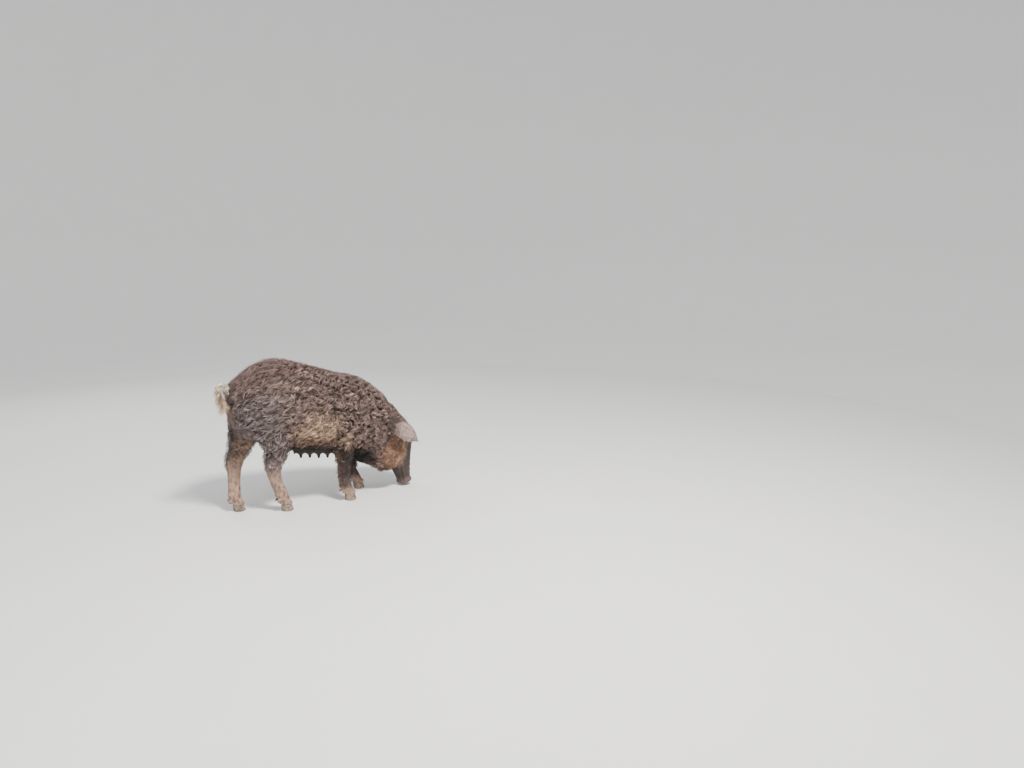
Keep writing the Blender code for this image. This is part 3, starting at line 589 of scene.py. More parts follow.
def head_forms():
    """The head with jowls, cheeks, lips, lids, the ears' roots and the folds of the snout."""
    rings = []
    for x, z, lean, half_width, half_depth in smooth(HEAD, 6):
        drawn = FACE_DEPTH + (CROWN_DEPTH - FACE_DEPTH) * float(ramp(z, 0.33, 0.42))
        rings.append(lean_ring(x, z, lean, half_width - drawn, half_depth - drawn, 48, HEAD_SQUARE))
    forms = [loft("head", rings)]
    for side in (1, -1):
        forms.append(ball("jowl", (0.896, 0.052 * side, 0.216), (0.092, 0.060, 0.096)))
        forms.append(ball("cheek", (0.945, 0.060 * side, 0.285), (0.050, 0.040, 0.062)))
        for degrees in (MOUTH_ANGLE - LIP_ANGLE, MOUTH_ANGLE + LIP_ANGLE):
            forms.append(mouth_tube("lip", side, degrees, 0.0056, -0.0028))
        normal = on_side(EYE_NORMAL, side).normalized()
        spot = eye_place(side) + normal * 0.006
        for lift, reach, radius, forward in LIDS:
            forms.append(lid_tube(spot, normal, lift, LID_REACH * reach, radius, forward))
        root, along, length = ear_line(side)
        line = ((-0.12, 0.034), (0.0, 0.032), (0.10, 0.022))
        points = [(*(root + along * length * t), radius) for t, radius in line]
        forms.append(tube("ear_base", points, 20))
    for place, size in ((6.2, 0.0040), (6.9, 0.0042), (7.6, 0.0040), (8.3, 0.0034)):
        points = []
        for i in range(-7, 8):
            spot = head_point(place, -90 + i * 11, 1, -0.0030)
            points.append((*spot, size * math.cos(i / 8.5 * math.pi / 2) + 0.0004))
        forms.append(tube("fold", points, 10))
    return forms


def ear_line(side):
    """The root of an ear, the way to its tip and its length."""
    root = on_side(EAR_ROOT, side)
    tip = on_side(EAR_TIP, side)
    return root, (tip - root).normalized(), (tip - root).length


def ear_form(side, wide=20, count=34):
    """A cupped leaf with a rolled edge and a soft fold along it, thicker towards its root."""
    root, along, length = ear_line(side)
    outward = on_side(EAR_OUTWARD, side)
    outward = (outward - along * outward.dot(along)).normalized()
    across = along.cross(outward)
    rings = []
    for k in range(count):
        t = k / (count - 1)
        open_up = 0.50 + 0.50 * math.sin(math.pi / 2 * min(t * 1.25, 1.0))
        half = EAR_WIDTH * open_up * (1 - t ** 3.2) + 0.002
        cup = 2 * EAR_CUP * (1 - 0.7 * t) * half / EAR_WIDTH
        bow = EAR_BOW * math.sin(math.pi * t) - EAR_BOW * t * t
        middle = root + along * length * (t * 1.06 - 0.06) + outward * bow
        outer = []
        inner = []
        for i in range(wide + 1):
            s = 2 * i / wide - 1
            ripple = 0.0016 * math.sin(9 * t + 4 * s) * t
            edge = -0.0030 * max(0.0, abs(s) - 0.8) / 0.2
            point = middle + across * half * s + outward * (cup * (1 - s * s) + ripple + edge)
            thick = EAR_THICK * (1 - 0.55 * abs(s)) * (1 - 0.45 * t) * 0.85
            outer.append(point + outward * thick)
            inner.append(point - outward * thick)
        rings.append(outer + inner[::-1])
    return loft("ear", rings)


def make_skin():
    """The whole skin as one mesh, in the working frame."""
    rings = [lean_ring(*skin_station(station), 72) for station in smooth(TRUNK, 6)]
    body = [loft("trunk", rings)]
    for leg in LEGS:
        body += leg_forms(leg)
    body += udder_forms()
    tail = [(x, y, z, radius * TAIL_CORE) for x, y, z, radius in smooth(TAIL, 5)]
    body.append(tube("tail", tail, 16))
    skin = fused("skin", body, BODY_VOXEL, 7)
    head = fused("head_skin", head_forms(), HEAD_VOXEL, 4)
    cuts = [mouth_tube("mouth", side, MOUTH_ANGLE, 0.0027, -0.0003) for side in (1, -1)]
    x, z, lean = HEAD[-1][:3]
    aside, radius, depth = NOSTRIL
    for side in (1, -1):
        place = (x, aside * side, z)
        cuts.append(ball("nostril", place, (depth, radius * 0.8, radius), math.radians(lean)))
        cuts.append(ball("socket", eye_place(side), (EYE_RADIUS + 0.0004,) * 3))
    combine(head, cuts, "DIFFERENCE")
    combine(skin, [head, ear_form(1), ear_form(-1)], "UNION")
    return skin


def lean_line(stations):
    rows = []
    for x, z, lean, half_width, half_height in smooth(stations, 8):
        rows.append((x, 0, z, *lean_up(lean), half_width, half_height))
    return np.array(rows)


def part_lines():
    """Rows along each part: centre, the way across that counts as up, and both half sizes."""
    lines = {"trunk": lean_line(TRUNK), "head": lean_line(HEAD)}
    for leg in LEGS:
        rows = []
        for x, y, z, half_length, half_width in smooth(LEGS[leg][2:], 8):
            rows.append((x, -y * side_of(leg), z, 1, 0, 0, half_width, half_length))
        lines[leg] = np.array(rows)
    tail = smooth(TAIL[1:], 8)
    lines["tail"] = np.array([(x, y, z, 1, 0, 0, radius, radius) for x, y, z, radius in tail])
    for side, name in EARS:
        root, along, length = ear_line(side)
        outward = on_side(EAR_OUTWARD, side)
        rows = []
        for k in range(20):
            t = 0.12 + 0.88 * k / 19
            middle = root + along * length * t + outward * EAR_BOW * math.sin(math.pi * t)
            rows.append((*middle, *outward, EAR_WIDTH * 0.9, EAR_CUP))
        lines[name] = np.array(rows)
    return lines


def unit(values):
    return values / np.maximum(np.linalg.norm(values, axis=-1, keepdims=True), 1e-9)


def ramp(values, low, high):
    t = np.clip((values - low) / (high - low), 0, 1)
    return t * t * (3 - 2 * t)


def place_of(points, lines):
    """For each point the part it belongs to, its place along it from 0 to 1 and its angle."""
    each = np.arange(len(points))
    found = []
    for name, rows in lines.items():
        centres = rows[:, :3]
        size = np.maximum(rows[:, 6], rows[:, 7])
        if name == "trunk":
            size = size * TRUNK_REACH
        apart = np.linalg.norm(points[:, None, :] - centres, axis=2) / size
        near = apart.argmin(1)
        score = apart[each, near]
        if name.startswith("ear"):
            score = score * EAR_NEARER
        if name == "head":
            score = score * (1 - CHEEK_NEARER * blot(points, CHEEK, 1.3))
        row = rows[near]
        away = points - row[:, :3]
        up = row[:, 3:6]
        line = centres[np.minimum(near + 1, len(rows) - 1)] - centres[np.maximum(near - 1, 0)]
        high = (away * up).sum(1)
        wide = (away * unit(np.cross(up, line))).sum(1)
        turn = np.degrees(np.arctan2(high / row[:, 7], wide / row[:, 6]))
        found.append((score, near / (len(rows) - 1), turn))
    score, along, angle = np.array(found).transpose(1, 0, 2)
    nearest = score.argmin(0)
    return np.array(list(lines))[nearest], along[nearest, each], angle[nearest, each]


def masks(part):
    """Which points are on the trunk, head, tail, hind legs, forelegs and ears."""
    names = ("trunk", "head", "tail", "hind", "fore", "ear")
    return [np.char.startswith(part, name) for name in names]


def steepness(angle):
    """Degrees above level on either side of the body, from -90 below to 90 above."""
    return np.where(np.abs(angle) <= 90, angle, np.sign(angle) * (180 - np.abs(angle)))


def mottle(points, size, turn=0.0):
    """Soft irregular spots of about the given size, from -1 to 1."""
    x, y, z = (points / size).T
    first = np.sin(x * 2.1 + z * 1.3 + turn) * np.sin(z * 2.4 - x * 0.9 + y * 1.7)
    second = np.sin(x * 4.7 - y * 3.1 + turn * 2) * np.sin(z * 5.1 + x * 1.9)
    third = np.sin(y * 9.1 + z * 8.3 + turn) * np.sin(x * 10.3 - z * 3.7)
    return np.clip(first + 0.6 * second + 0.35 * third, -1, 1)


def inner_side(part, angle):
    """1 on the side of a leg that faces the other leg."""
    left = np.char.endswith(part, "left")
    turn = np.abs(angle)
    return np.where(left, ramp(turn, 100, 140), ramp(-turn, -80, -40))


def blot(points, mark, wider=1.0, full=0.55):
    """A soft mark on both sides: 1 inside its full share and 0 outside its half sizes."""
    middle, sizes = mark
    beside = np.stack([points[:, 0], np.abs(points[:, 1]), points[:, 2]], 1)
    away = (beside - np.array(middle)) / (np.array(sizes) * wider)
    return 1 - ramp(np.linalg.norm(away, axis=1), full, 1.15)


def markings(points, part, along, angle):
    """The colour of skin and coat at each point, in the working frame, with painted shade and a
    painted highlight among the marks.
    """
    x, y, z = points.T
    steep = steepness(angle)
    spots = mottle(points, 0.045)
    fine = mottle(points, 0.016, 2.0)
    streaks = mottle(points * np.array((1.0, 1.0, 0.35)), 0.012, 4.0)
    trunk, head, tail, hind, fore, ear = masks(part)
    colour = np.tile(linear("coat"), (len(points), 1))

    def paint(tone, share):
        """Mixes a tone in, by its share at each point."""
        nonlocal colour
        colour = colour + (linear(tone) - colour) * share[:, None]

    # The trunk: back, haunch, flank patch, painted shade in the crease and a painted highlight at
    # the elbow, painted shade under the belly
    top = ramp(z, 0.60, 0.78) * ramp(steep, 25, 60)
    paint("back", np.clip(top + 0.20 * spots, 0, 1))
    haunch = ramp(-x, -0.35, -0.22) * ramp(z, 0.20, 0.30) * ramp(-z, -0.70, -0.60)
    paint("haunch", haunch * 0.9)
    thigh = haunch * ramp(-z, -0.47, -0.36)
    colour = colour * (1 + 0.30 * thigh)[:, None]
    flank = blot(points, FLANK, 1.12, 0.30)
    flank = np.clip(flank * (1.05 + 0.75 * spots + 0.60 * fine), 0, 1)
    low = ramp(-z - 0.25 * (x - 0.468) + 0.02 * spots, -0.425, -0.355)
    paint("flank", flank * (1 - low) * 0.85)
    paint("rust", flank * low * 0.75)
    # Painted shade: darker in the crease behind the shoulder
    paint("dark", np.clip(blot(points, CREASE_SHADE) * (0.34 + 0.4 * spots), 0, 1))
    # A painted highlight: paler at the elbow, in the flank's tone
    elbow_highlight = blot(points, ELBOW_HIGHLIGHT)
    paint("flank", elbow_highlight * 0.65)
    # Painted shade: dark under the belly, except at the elbow's painted highlight
    falling = z + 0.18 * (x - 0.38) - 0.01 * spots
    under = ramp(-falling, -0.395, -0.345) * ramp(x, 0.26, 0.34) * ramp(-x, -0.84, -0.74)
    paint("dark", under * (1 - elbow_highlight))
    # The hind legs: mud below and inside, painted shade behind the far thigh over some dark rear
    # hair, rust at the hock
    share = ramp(-z + 0.03 * fine + 0.03 * spots, -0.255, -0.175) * hind
    paint("mud", share * 0.9)
    paint("mud", inner_side(part, angle) * hind * ramp(-z, -0.50, -0.38) * 0.75)
    paint("foreleg", ramp(streaks + 0.5 * spots, 0.15, 0.75) * share * 0.70)
    # Painted shade behind the thigh, strongest on the far leg, over some dark rear hair
    thigh_rear_shade = ramp(-steep, -12, 28) * ramp(z, 0.22, 0.32) * hind
    thigh_rear_shade = np.where(part == "hind_right", thigh_rear_shade * 0.3, thigh_rear_shade)
    paint("foreleg", thigh_rear_shade * 0.50)
    rear = ramp(-steep, 20, 70) * ramp(-z, -0.27, -0.23) * ramp(z, 0.15, 0.20) * hind
    paint("rust", rear * (0.32 + 0.25 * fine))
    # The forelegs: dark, with a rust rear edge and muddy feet
    paint("foreleg", ramp(-z, -0.36, -0.26) * fore)
    rear = ramp(-steep, 35, 75) * ramp(-z, -0.34, -0.28) * fore
    paint("rust", rear * (0.45 + 0.30 * fine))
    paint("mud", ramp(-z, -0.100, -0.055) * fore * 0.8)
    # The head and ears
    cheek = np.clip(blot(points, CHEEK) * (1.0 + 0.30 * spots + 0.25 * fine), 0, 1)
    paint("cheek", cheek * 0.9)
    # The face's dark skin, darker still as painted shade under the ear; the snout likewise
    paint("face", ramp(along, 0.28, 0.40) * head * (1 - cheek) * 0.9)
    paint("snout", ramp(along, 0.84, 0.93) * head)
    paint("ear", ramp(along, 0.10, 0.36) * ear * 0.95)
    paint("dark", ramp(-along, -0.22, -0.06) * ear * 0.6)
    # Painted shade in the ear's folds, in the face's tone
    folds = ramp(streaks + 0.4 * spots, 0.05, 0.60) * ramp(-along, -0.75, -0.20) * ear
    paint("face", folds * 0.45)
    # The pale skin under the tail, and the tail
    rear = ramp(-x, -0.075, -0.035) * ramp(-np.abs(y), -0.085, -0.045) * ramp(-z, -0.66, -0.60)
    paint("mud", rear * trunk * 0.8)
    paint("tassel", tail * 1.0)
    paint("cream", ramp(-along, -0.50, -0.30) * tail)
    # Painted shade: random dark patches of strands on the trunk, for the shade in the gaps between
    # curls
    curl_gap_shade = mottle(points, 0.0120, 1.0) * ramp(x, 0.05, 0.50) * trunk
    shade = 1 + 0.14 * spots * (1 - 0.5 * head) + 0.16 * fine * (1 - 0.6 * head) + 0.42 * curl_gap_shade
    return np.clip(colour * shade[:, None], 0.004, 0.95)


def mesh_points(thing):
    """The places and normals of a mesh's vertices."""
    out = []
    for key in ("co", "normal"):
        values = np.zeros(len(thing.data.vertices) * 3)
        thing.data.vertices.foreach_get(key, values)
        out.append(values.reshape(-1, 3))
    return out


def scattered(skin, chance, count):
    """Random points over the skin with their normals, whatever the order of its faces.

    Blender may number the same faces and corners differently from run to run, so both are
    sorted first, and every run then draws the same points.
    """
    points, normals = mesh_points(skin)
    order = np.lexsort(np.round(points, 5).T)
    rank = np.empty(len(order), int)
    rank[order] = np.arange(len(order))
    rank = rank.tolist()
    points = np.round(points[order], 6)
    normals = np.round(normals[order], 5)
    corners = []
    for face in skin.data.polygons:
        ring = [rank[corner] for corner in face.vertices]
        first = ring.index(min(ring))
        ring = ring[first:] + ring[:first]
        corners.extend((ring[0], ring[k], ring[k + 1]) for k in range(1, len(ring) - 1))
    corners = np.array(sorted(corners))
    a, b, c = (points[corners[:, i]] for i in range(3))
    area = np.round(np.linalg.norm(np.cross(b - a, c - a), axis=1), 9)
    chosen = chance.choice(len(corners), count, p=area / area.sum())
    u = chance.random((count, 1))
    v = chance.random((count, 1))
    swap = (u + v) > 1
    u = np.where(swap, 1 - u, u)
    v = np.where(swap, 1 - v, v)
    share = (1 - u - v, u, v)
    spots = sum(points[corners[chosen, i]] * share[i] for i in range(3))
    out = unit(sum(normals[corners[chosen, i]] * share[i] for i in range(3)))
    return spots, out


def thinned(spots, pitch):
    """Indices of spots of which no two are nearer than the pitch given at the first."""
    cell = pitch.max()
    around = list(itertools.product((-1, 0, 1), repeat=3))
    taken = {}
    keep = []
    for index, (spot, apart) in enumerate(zip(spots.tolist(), pitch.tolist())):
        a, b, c = (math.floor(value / cell) for value in spot)
        cells = (taken.get((a + i, b + j, c + k), ()) for i, j, k in around)
        if all(math.dist(other, spot) >= apart for others in cells for other in others):
            taken.setdefault((a, b, c), []).append(spot)
            keep.append(index)
    return np.array(keep)


def coat_plan(points, normals, part, along, angle):
    """How the coat grows at each point, as a table of one value or vector a point.

    Its rows are the pitch between tufts, the depth of the coat, the curl from 0 to 1, the
    strands in a tuft, their width, the share of tufts to keep, and the way the hair lies.
    """
    x, y, z = points.T
    steep = steepness(angle)
    trunk, head, tail, hind, fore, ear = masks(part)
    plan = {"pitch": 0.0133, "curl": 0.72, "strands": 4.1, "width": 0.0019, "keep": 1.0}
    plan = {key: np.full(len(points), value) for key, value in plan.items()}
    plan["depth"] = trunk_coat(x)

    def put(where, **values):
        """Sets values where the mask is true."""
        for key, value in values.items():
            plan[key] = np.where(where, value, plan[key])

    def less(share, **values):
        """Takes a part off each value, in full where the share is 1."""
        for key, value in values.items():
            plan[key] = plan[key] * (1 - value * share)

    # The trunk: long waves behind, tight curls in front, a bare udder
    spine = ramp(z, 0.64, 0.74) * trunk
    shoulder = ramp(x, 0.36, 0.60) * trunk
    rump = ramp(-x, -0.36, -0.22)
    plan["curl"] += 0.30 * shoulder - 0.14 * rump * (trunk | hind) - 0.22 * spine
    under = ramp(-steep, 34, 58) * ramp(-x, -0.70, -0.62) * trunk
    plan["depth"] = plan["depth"] * (1 - under) + BELLY_DEPTH * under
    fuller = ramp(steep, 15, 60) * ramp(-x, -0.62, -0.45) + ramp(-x, -0.15, -0.06)
    plan["depth"] += 0.007 * np.clip(fuller, 0, 1) * trunk
    plan["depth"] += 0.008 * (ramp(steep, 25, 60) * ramp(x, 0.72, 0.82) * trunk)
    brow = ramp(x, 0.855, 0.925) * trunk
    flank = blot(points, FLANK)
    plan["pitch"] -= 0.0045 * brow
    plan["curl"] -= 0.22 * flank
    less(rump, width=0.15)
    less(under, keep=0.70)
    less(blot(points, CHEEK, 1.7), depth=0.5)
    less(brow, depth=0.60, width=0.30)
    less(flank, depth=0.36, width=0.15, keep=0.12)
    put((np.abs(y) < 0.10) & (z < 0.335) & (x > 0.34) & (x < 0.63), keep=0.0)
    # The legs: long above, short and flat on the cannons, none on the coronets
    over = ramp(z, 0.20, 0.36)
    inner = inner_side(part, angle) * (hind | fore)
    put(hind | fore, strands=3.4)
    put((hind | fore) & (z < 0.050), keep=0.0)
    put(hind, pitch=0.0085 + 0.0050 * over, curl=0.60 + 0.10 * over)
    put(hind, width=0.0011 + 0.0010 * over, depth=(0.0018 + 0.0180 * over) * (1 - 0.6 * inner))
    put(fore, pitch=0.0110, curl=0.90, width=0.0016)
    put(fore, depth=0.0018 + 0.0150 * ramp(z, 0.070, 0.300))
    # The head: woolly on the crown, flat on the face, bare at the snout
    crown = ramp(-along, -0.50, -0.14) * head
    woolly = np.clip(crown + blot(points, JOWL) * 0.22, 0, 1)
    put(head, depth=0.0020 + 0.0120 * woolly, pitch=0.0062 + 0.0052 * woolly, strands=3.4)
    put(head, width=0.0010 + 0.0008 * woolly, curl=0.25 + 0.60 * woolly)
    put(head & (along > 0.88), keep=0.0)
    # The ears, with wool at the root and a fringe along the rim
    root = ramp(-along, -0.26, -0.10) * ear
    rim = ramp(-steep, -34, -12) * ramp(along, 0.10, 0.30) * ear
    put(ear, depth=0.0030 + 0.0085 * root + 0.0024 * rim, pitch=0.0066 + 0.0040 * root)
    put(ear, strands=3.0 + 1.5 * rim, width=0.0009 + 0.0007 * root, curl=0.05 + 0.70 * root)
    # The tail, with its tassel
    tassel = ramp(along, 0.40, 0.75) * tail
    put(tail, depth=0.006 + 0.010 * tassel, strands=7.0 + 5.0 * tassel)
    put(tail, pitch=0.0072, curl=0.12, width=0.0011)
    lie = lie_of(points, part, steep)
    plan["lie"] = unit(lie - normals * (lie * normals).sum(1, keepdims=True))
    return plan


def lie_of(points, part, steep):
    """The way the coat lies: back and down the body, down the legs, up the face."""
    x, _, z = points.T
    _, head, tail, hind, fore, _ = masks(part)
    lie = np.zeros((len(points), 3))
    lie[:, 0] = -1.0
    lie[:, 2] = -0.12 - 0.34 * (1 - ramp(steep, -10, 70))
    lie[:, 2] -= 0.9 * ramp(-z, -0.47, -0.36) * ramp(-x, -0.40, -0.30)

    def put(where, way):
        nonlocal lie
        lie = np.where(where[:, None], way, lie)

    put(hind | fore, (-0.28, 0, -1.0))
    crown = ramp(z, 0.36, 0.44)[:, None]
    put(head, np.array((-0.45, 0, 0.85)) * (1 - crown) + np.array((-0.6, 0, -0.5)) * crown)
    put(head & (x < 0.935) & (z < 0.36), (-0.75, 0, -0.65))
    for side, name in EARS:
        root, ahead, _ = ear_line(side)
        across = np.array(ahead.cross(Vector(EAR_OUTWARD)))
        aside = (points - np.array(root)) @ across
        put(part == name, np.array(ahead) + np.outer(aside / EAR_WIDTH, across) * 0.7)
    put(tail, (-0.20, -0.10, -1.0))
    return lie


def turned(vectors, axes, angles):
    """Each vector turned about its axis."""
    c = np.cos(angles)[:, None]
    s = np.sin(angles)[:, None]
    dot = (vectors * axes).sum(1, keepdims=True)
    return vectors * c + np.cross(axes, vectors) * s + axes * dot * (1 - c)


def grow(clumps, chance, points_each):
    """The centre lines of all strands: an array of strand, point and coordinate.

    A strand leaves the skin at a lean, turns over towards its lie and ends in a curl. How
    far it turns depends on the curl, and its length follows from the depth of the coat.
    """
    count = len(clumps["spot"])
    number = np.floor(clumps["strands"] * chance.uniform(0.8, 1.2, count) + chance.random(count))
    owner = np.repeat(np.arange(count), np.maximum(1, number).astype(int))
    total = len(owner)
    normal = clumps["normal"][owner]
    curl = clumps["curl"][owner]
    swing = chance.normal(0, 1, count) * (0.14 + 0.85 * clumps["curl"] ** 1.5)
    lie = turned(clumps["lie"], clumps["normal"], swing)[owner]
    lie = turned(lie, normal, chance.normal(0, 0.24, total))
    across = np.cross(normal, lie)
    flat = clumps["depth"][owner] < SHORT_HAIR
    long_hair = ramp(clumps["depth"][owner], SHORT_HAIR * 0.6, SHORT_HAIR * 1.8)
    # The heading of each strand from its root to its tip
    lean = np.radians(STRAND_LEAN[0] - STRAND_LEAN[1] * curl + chance.normal(0, 9, total))
    short_lean = np.radians(FLAT_LEAN + chance.normal(0, 5, total))
    lean = lean * long_hair + short_lean * (1 - long_hair)
    end = STRAND_TURN[0] + STRAND_TURN[1] * clumps["curl"] + chance.normal(0, 26, count)
    end = np.radians(end[owner] + chance.normal(0, 16, total))
    end = np.where(flat, np.radians(FLAT_TURN), end)
    t = np.linspace(0, 1, points_each) ** 0.86
    power = 1.35 + 0.65 * curl
    heading = lean[:, None] + (end - lean)[:, None] * t ** power[:, None]
    middle = (heading[:, 1:] + heading[:, :-1]) / 2
    step = np.diff(t)
    blank = np.zeros((total, 1))
    rise = np.concatenate([blank, np.cumsum(np.cos(middle) * step, axis=1)], axis=1)
    run = np.concatenate([blank, np.cumsum(np.sin(middle) * step, axis=1)], axis=1)
    # Its length, its sway to one side and a small wave
    tallest = np.maximum(rise.max(1), 0.12)
    depth = clumps["depth"][owner] * chance.uniform(0.72, 1.04, total)
    length = np.where(flat, depth * FLAT_STRETCH, np.clip(depth / tallest, 0.006, 0.070))
    sway = chance.choice((-1.0, 1.0), count)[owner] * 0.22 * curl
    phase = chance.uniform(0, 2 * math.pi, count)[owner] + chance.normal(0, 0.5, total)
    ripple = (0.045 + 0.045 * (1 - curl))[:, None] * np.sin(phase[:, None] + 8.5 * t)
    wide = sway[:, None] * t + ripple * t
    # Its root's place in the tuft, whose strands draw together at the tip
    spread = clumps["pitch"][owner] * 0.56
    turn = chance.uniform(0, 2 * math.pi, total)
    radius = np.sqrt(chance.random(total)) * spread
    offset = lie * (np.cos(turn) * radius)[:, None] + across * (np.sin(turn) * radius)[:, None]
    gather = 1 - 0.72 * t[:, None] ** 0.8
    root = clumps["spot"][owner] - normal * (0.0003 + 0.0027 * long_hair)[:, None]
    lines = root[:, None, :] + offset[:, None, :] * gather
    for way, reach in ((normal, rise), (lie, run), (across, wide)):
        lines = lines + way[:, None, :] * (reach * length[:, None])[:, :, None]
    return lines, owner, across


def fill(data, key, values, kind=np.float32):
    data.foreach_set(key, np.ravel(values).astype(kind))


def paint_points(mesh, colour):
    full = np.ones((len(colour), 4))
    full[:, :3] = colour
    fill(mesh.color_attributes.new("Marking", "FLOAT_COLOR", "POINT").data, "color", full)


def mark_points(mesh, name, values):
    fill(mesh.attributes.new(name, "FLOAT", "POINT").data, "value", values)


def strand_piece(name, lines, across, width, colour, part, along, angle):
    """One mesh of tapered, three-sided strands, with its unwrap and its colours."""
    total, count, _ = lines.shape
    ahead = unit(np.gradient(lines, axis=1))
    side = across[:, None, :] - ahead * (across[:, None, :] * ahead).sum(2, keepdims=True)
    side = unit(side)
    over = np.cross(side, ahead)
    t = np.linspace(0, 1, count)
    taper = (0.72 + 0.5 * np.sin(np.pi * np.minimum(t * 1.15, 1.0))) * (1 - t ** 2.6)
    half = (width[:, None] * 0.5 * taper)[:, :, None]
    rings = np.stack([lines + side * half, lines - side * half, lines + over * half * 0.8], axis=2)
    body = rings[:, :-1].reshape(total, (count - 1) * 3, 3)
    points = np.concatenate([body, lines[:, -1:, :]], axis=1)
    each = (count - 1) * 3 + 1
    # The faces of one strand, and each corner's share of its patch of the unwrap
    faces = []
    shares = []
    for k, j in itertools.product(range(count - 1), range(3)):
        first = 3 * k + j
        second = 3 * k + (j + 1) % 3
        low = k / (count - 1)
        high = (k + 1) / (count - 1)
        shares += [(j / 3, low), ((j + 1) / 3, low)]
        if k < count - 2:
            faces.append((first, second, second + 3, first + 3))
            shares += [((j + 1) / 3, high), (j / 3, high)]
        else:
            faces.append((first, second, each - 1))
            shares.append(((j + 0.5) / 3, 1.0))
    faces.append((2, 1, 0))
    shares += [(1, 0), (0.5, 0), (0, 0)]
    corners = np.concatenate(faces) + (np.arange(total) * each)[:, None]
    sizes = np.tile([len(face) for face in faces], total)
    mesh = bpy.data.meshes.new(name)
    mesh.vertices.add(total * each)
    mesh.loops.add(corners.size)
    mesh.polygons.add(len(sizes))
    fill(mesh.vertices, "co", points)
    fill(mesh.loops, "vertex_index", corners, np.int32)
    fill(mesh.polygons, "loop_start", np.cumsum(sizes) - sizes, np.int32)
    fill(mesh.polygons, "loop_total", sizes, np.int32)
    fill(mesh.polygons, "use_smooth", np.ones(len(sizes)), bool)
    mesh.update(calc_edges=True)
    patch = unwrapped(part, along, angle)[:, None, :] + (np.array(shares) - 0.5) * PATCH
    fill(mesh.uv_layers.new(name="OFBake").data, "uv", patch)
    paint_points(mesh, np.repeat(colour, each, axis=0))
    mark_points(mesh, "Reach", np.tile(np.append(np.repeat(t[:-1], 3), 1.0), total))
    return linked(name, mesh)


def unwrapped(part, along, angle):
    """Each root's place on an unwrap by its part's length and its angle round it."""
    names = np.unique(part)
    order = np.searchsorted(names, part)
    u = 0.01 + 0.98 * (order + along * 0.96) / len(names)
    v = 0.01 + 0.98 * (angle + 180) / 360
    return np.stack([u, v], 1)


def make_coat(skin, lines_of):
    """All pieces of the coat, each below the limit of triangles."""
    chance = np.random.default_rng(SEED)
    spots, normals = scattered(skin, chance, CANDIDATES)
    part, along, angle = place_of(spots, lines_of)
    plan = coat_plan(spots, normals, part, along, angle)
    plan.update(spot=spots, normal=normals)
    index = np.nonzero(chance.random(len(spots)) < plan["keep"])[0]
    index = index[thinned(spots[index], plan["pitch"][index] * TUFT_GAP)]
    trunk, head, tail, hind, fore, ear = masks(part[index])
    short = (plan["depth"][index] < SHORT_HAIR) & ~(trunk | tail)
    # Which tufts go into which piece, and the points along each strand
    groups = {
        "trunk": (trunk, 8),
        "legs": ((hind | fore) & ~short, 8),
        "head": (head & ~short, 8),
        "ears": (ear & ~short, 7),
        "tail": (tail, 8),
        "short": (short, 4),
    }
    pieces = []
    rear = CAD_LOW[0] - SHIFT[0] - TASSEL_REACH
    for group, (name, (mask, points_each)) in enumerate(groups.items()):
        chance = np.random.default_rng((SEED, group))
        rows = index[mask]
        rows = rows[np.argsort(spots[rows, 0], kind="stable")]
        clumps = {key: values[rows] for key, values in plan.items()}
        lines, owner, across = grow(clumps, chance, points_each)
        clear = (lines[:, :, 2].min(1) > FLOOR_GAP) & (lines[:, :, 0].min(1) > rear)
        lines, owner, across = lines[clear], owner[clear], across[clear]
        which = part[rows][owner]
        place = along[rows][owner]
        turn = angle[rows][owner] + chance.uniform(-2.0, 2.0, len(owner))
        colour = markings(lines[:, 0, :], which, place, turn)
        tone = chance.lognormal(0.0, STRAND_TONE, len(owner))
        tone = tone * chance.lognormal(0.0, TUFT_TONE, len(rows))[owner]
        width = clumps["width"][owner] * chance.uniform(0.75, 1.2, len(owner))
        table = (lines, across, width, colour * tone[:, None], which, place, turn)
        faces = 6 * (points_each - 2) + 4
        number = math.ceil(len(owner) / (PIECE_LIMIT // faces))
        for k, own in enumerate(np.array_split(np.arange(len(owner)), number)):
            title = "coat_" + name + "_" + str(k + 1)
            pieces.append(strand_piece(title, *(values[own] for values in table)))
    return pieces


def colour_skin(skin, lines_of):
    """Gives the skin the coat's markings and how much coat covers each point."""
    points, normals = mesh_points(skin)
    part, along, angle = place_of(points, lines_of)
    plan = coat_plan(points, normals, part, along, angle)
    paint_points(skin.data, markings(points, part, along, angle))
    mark_points(skin.data, "Cover", ramp(plan["depth"], *COVER) * plan["keep"])


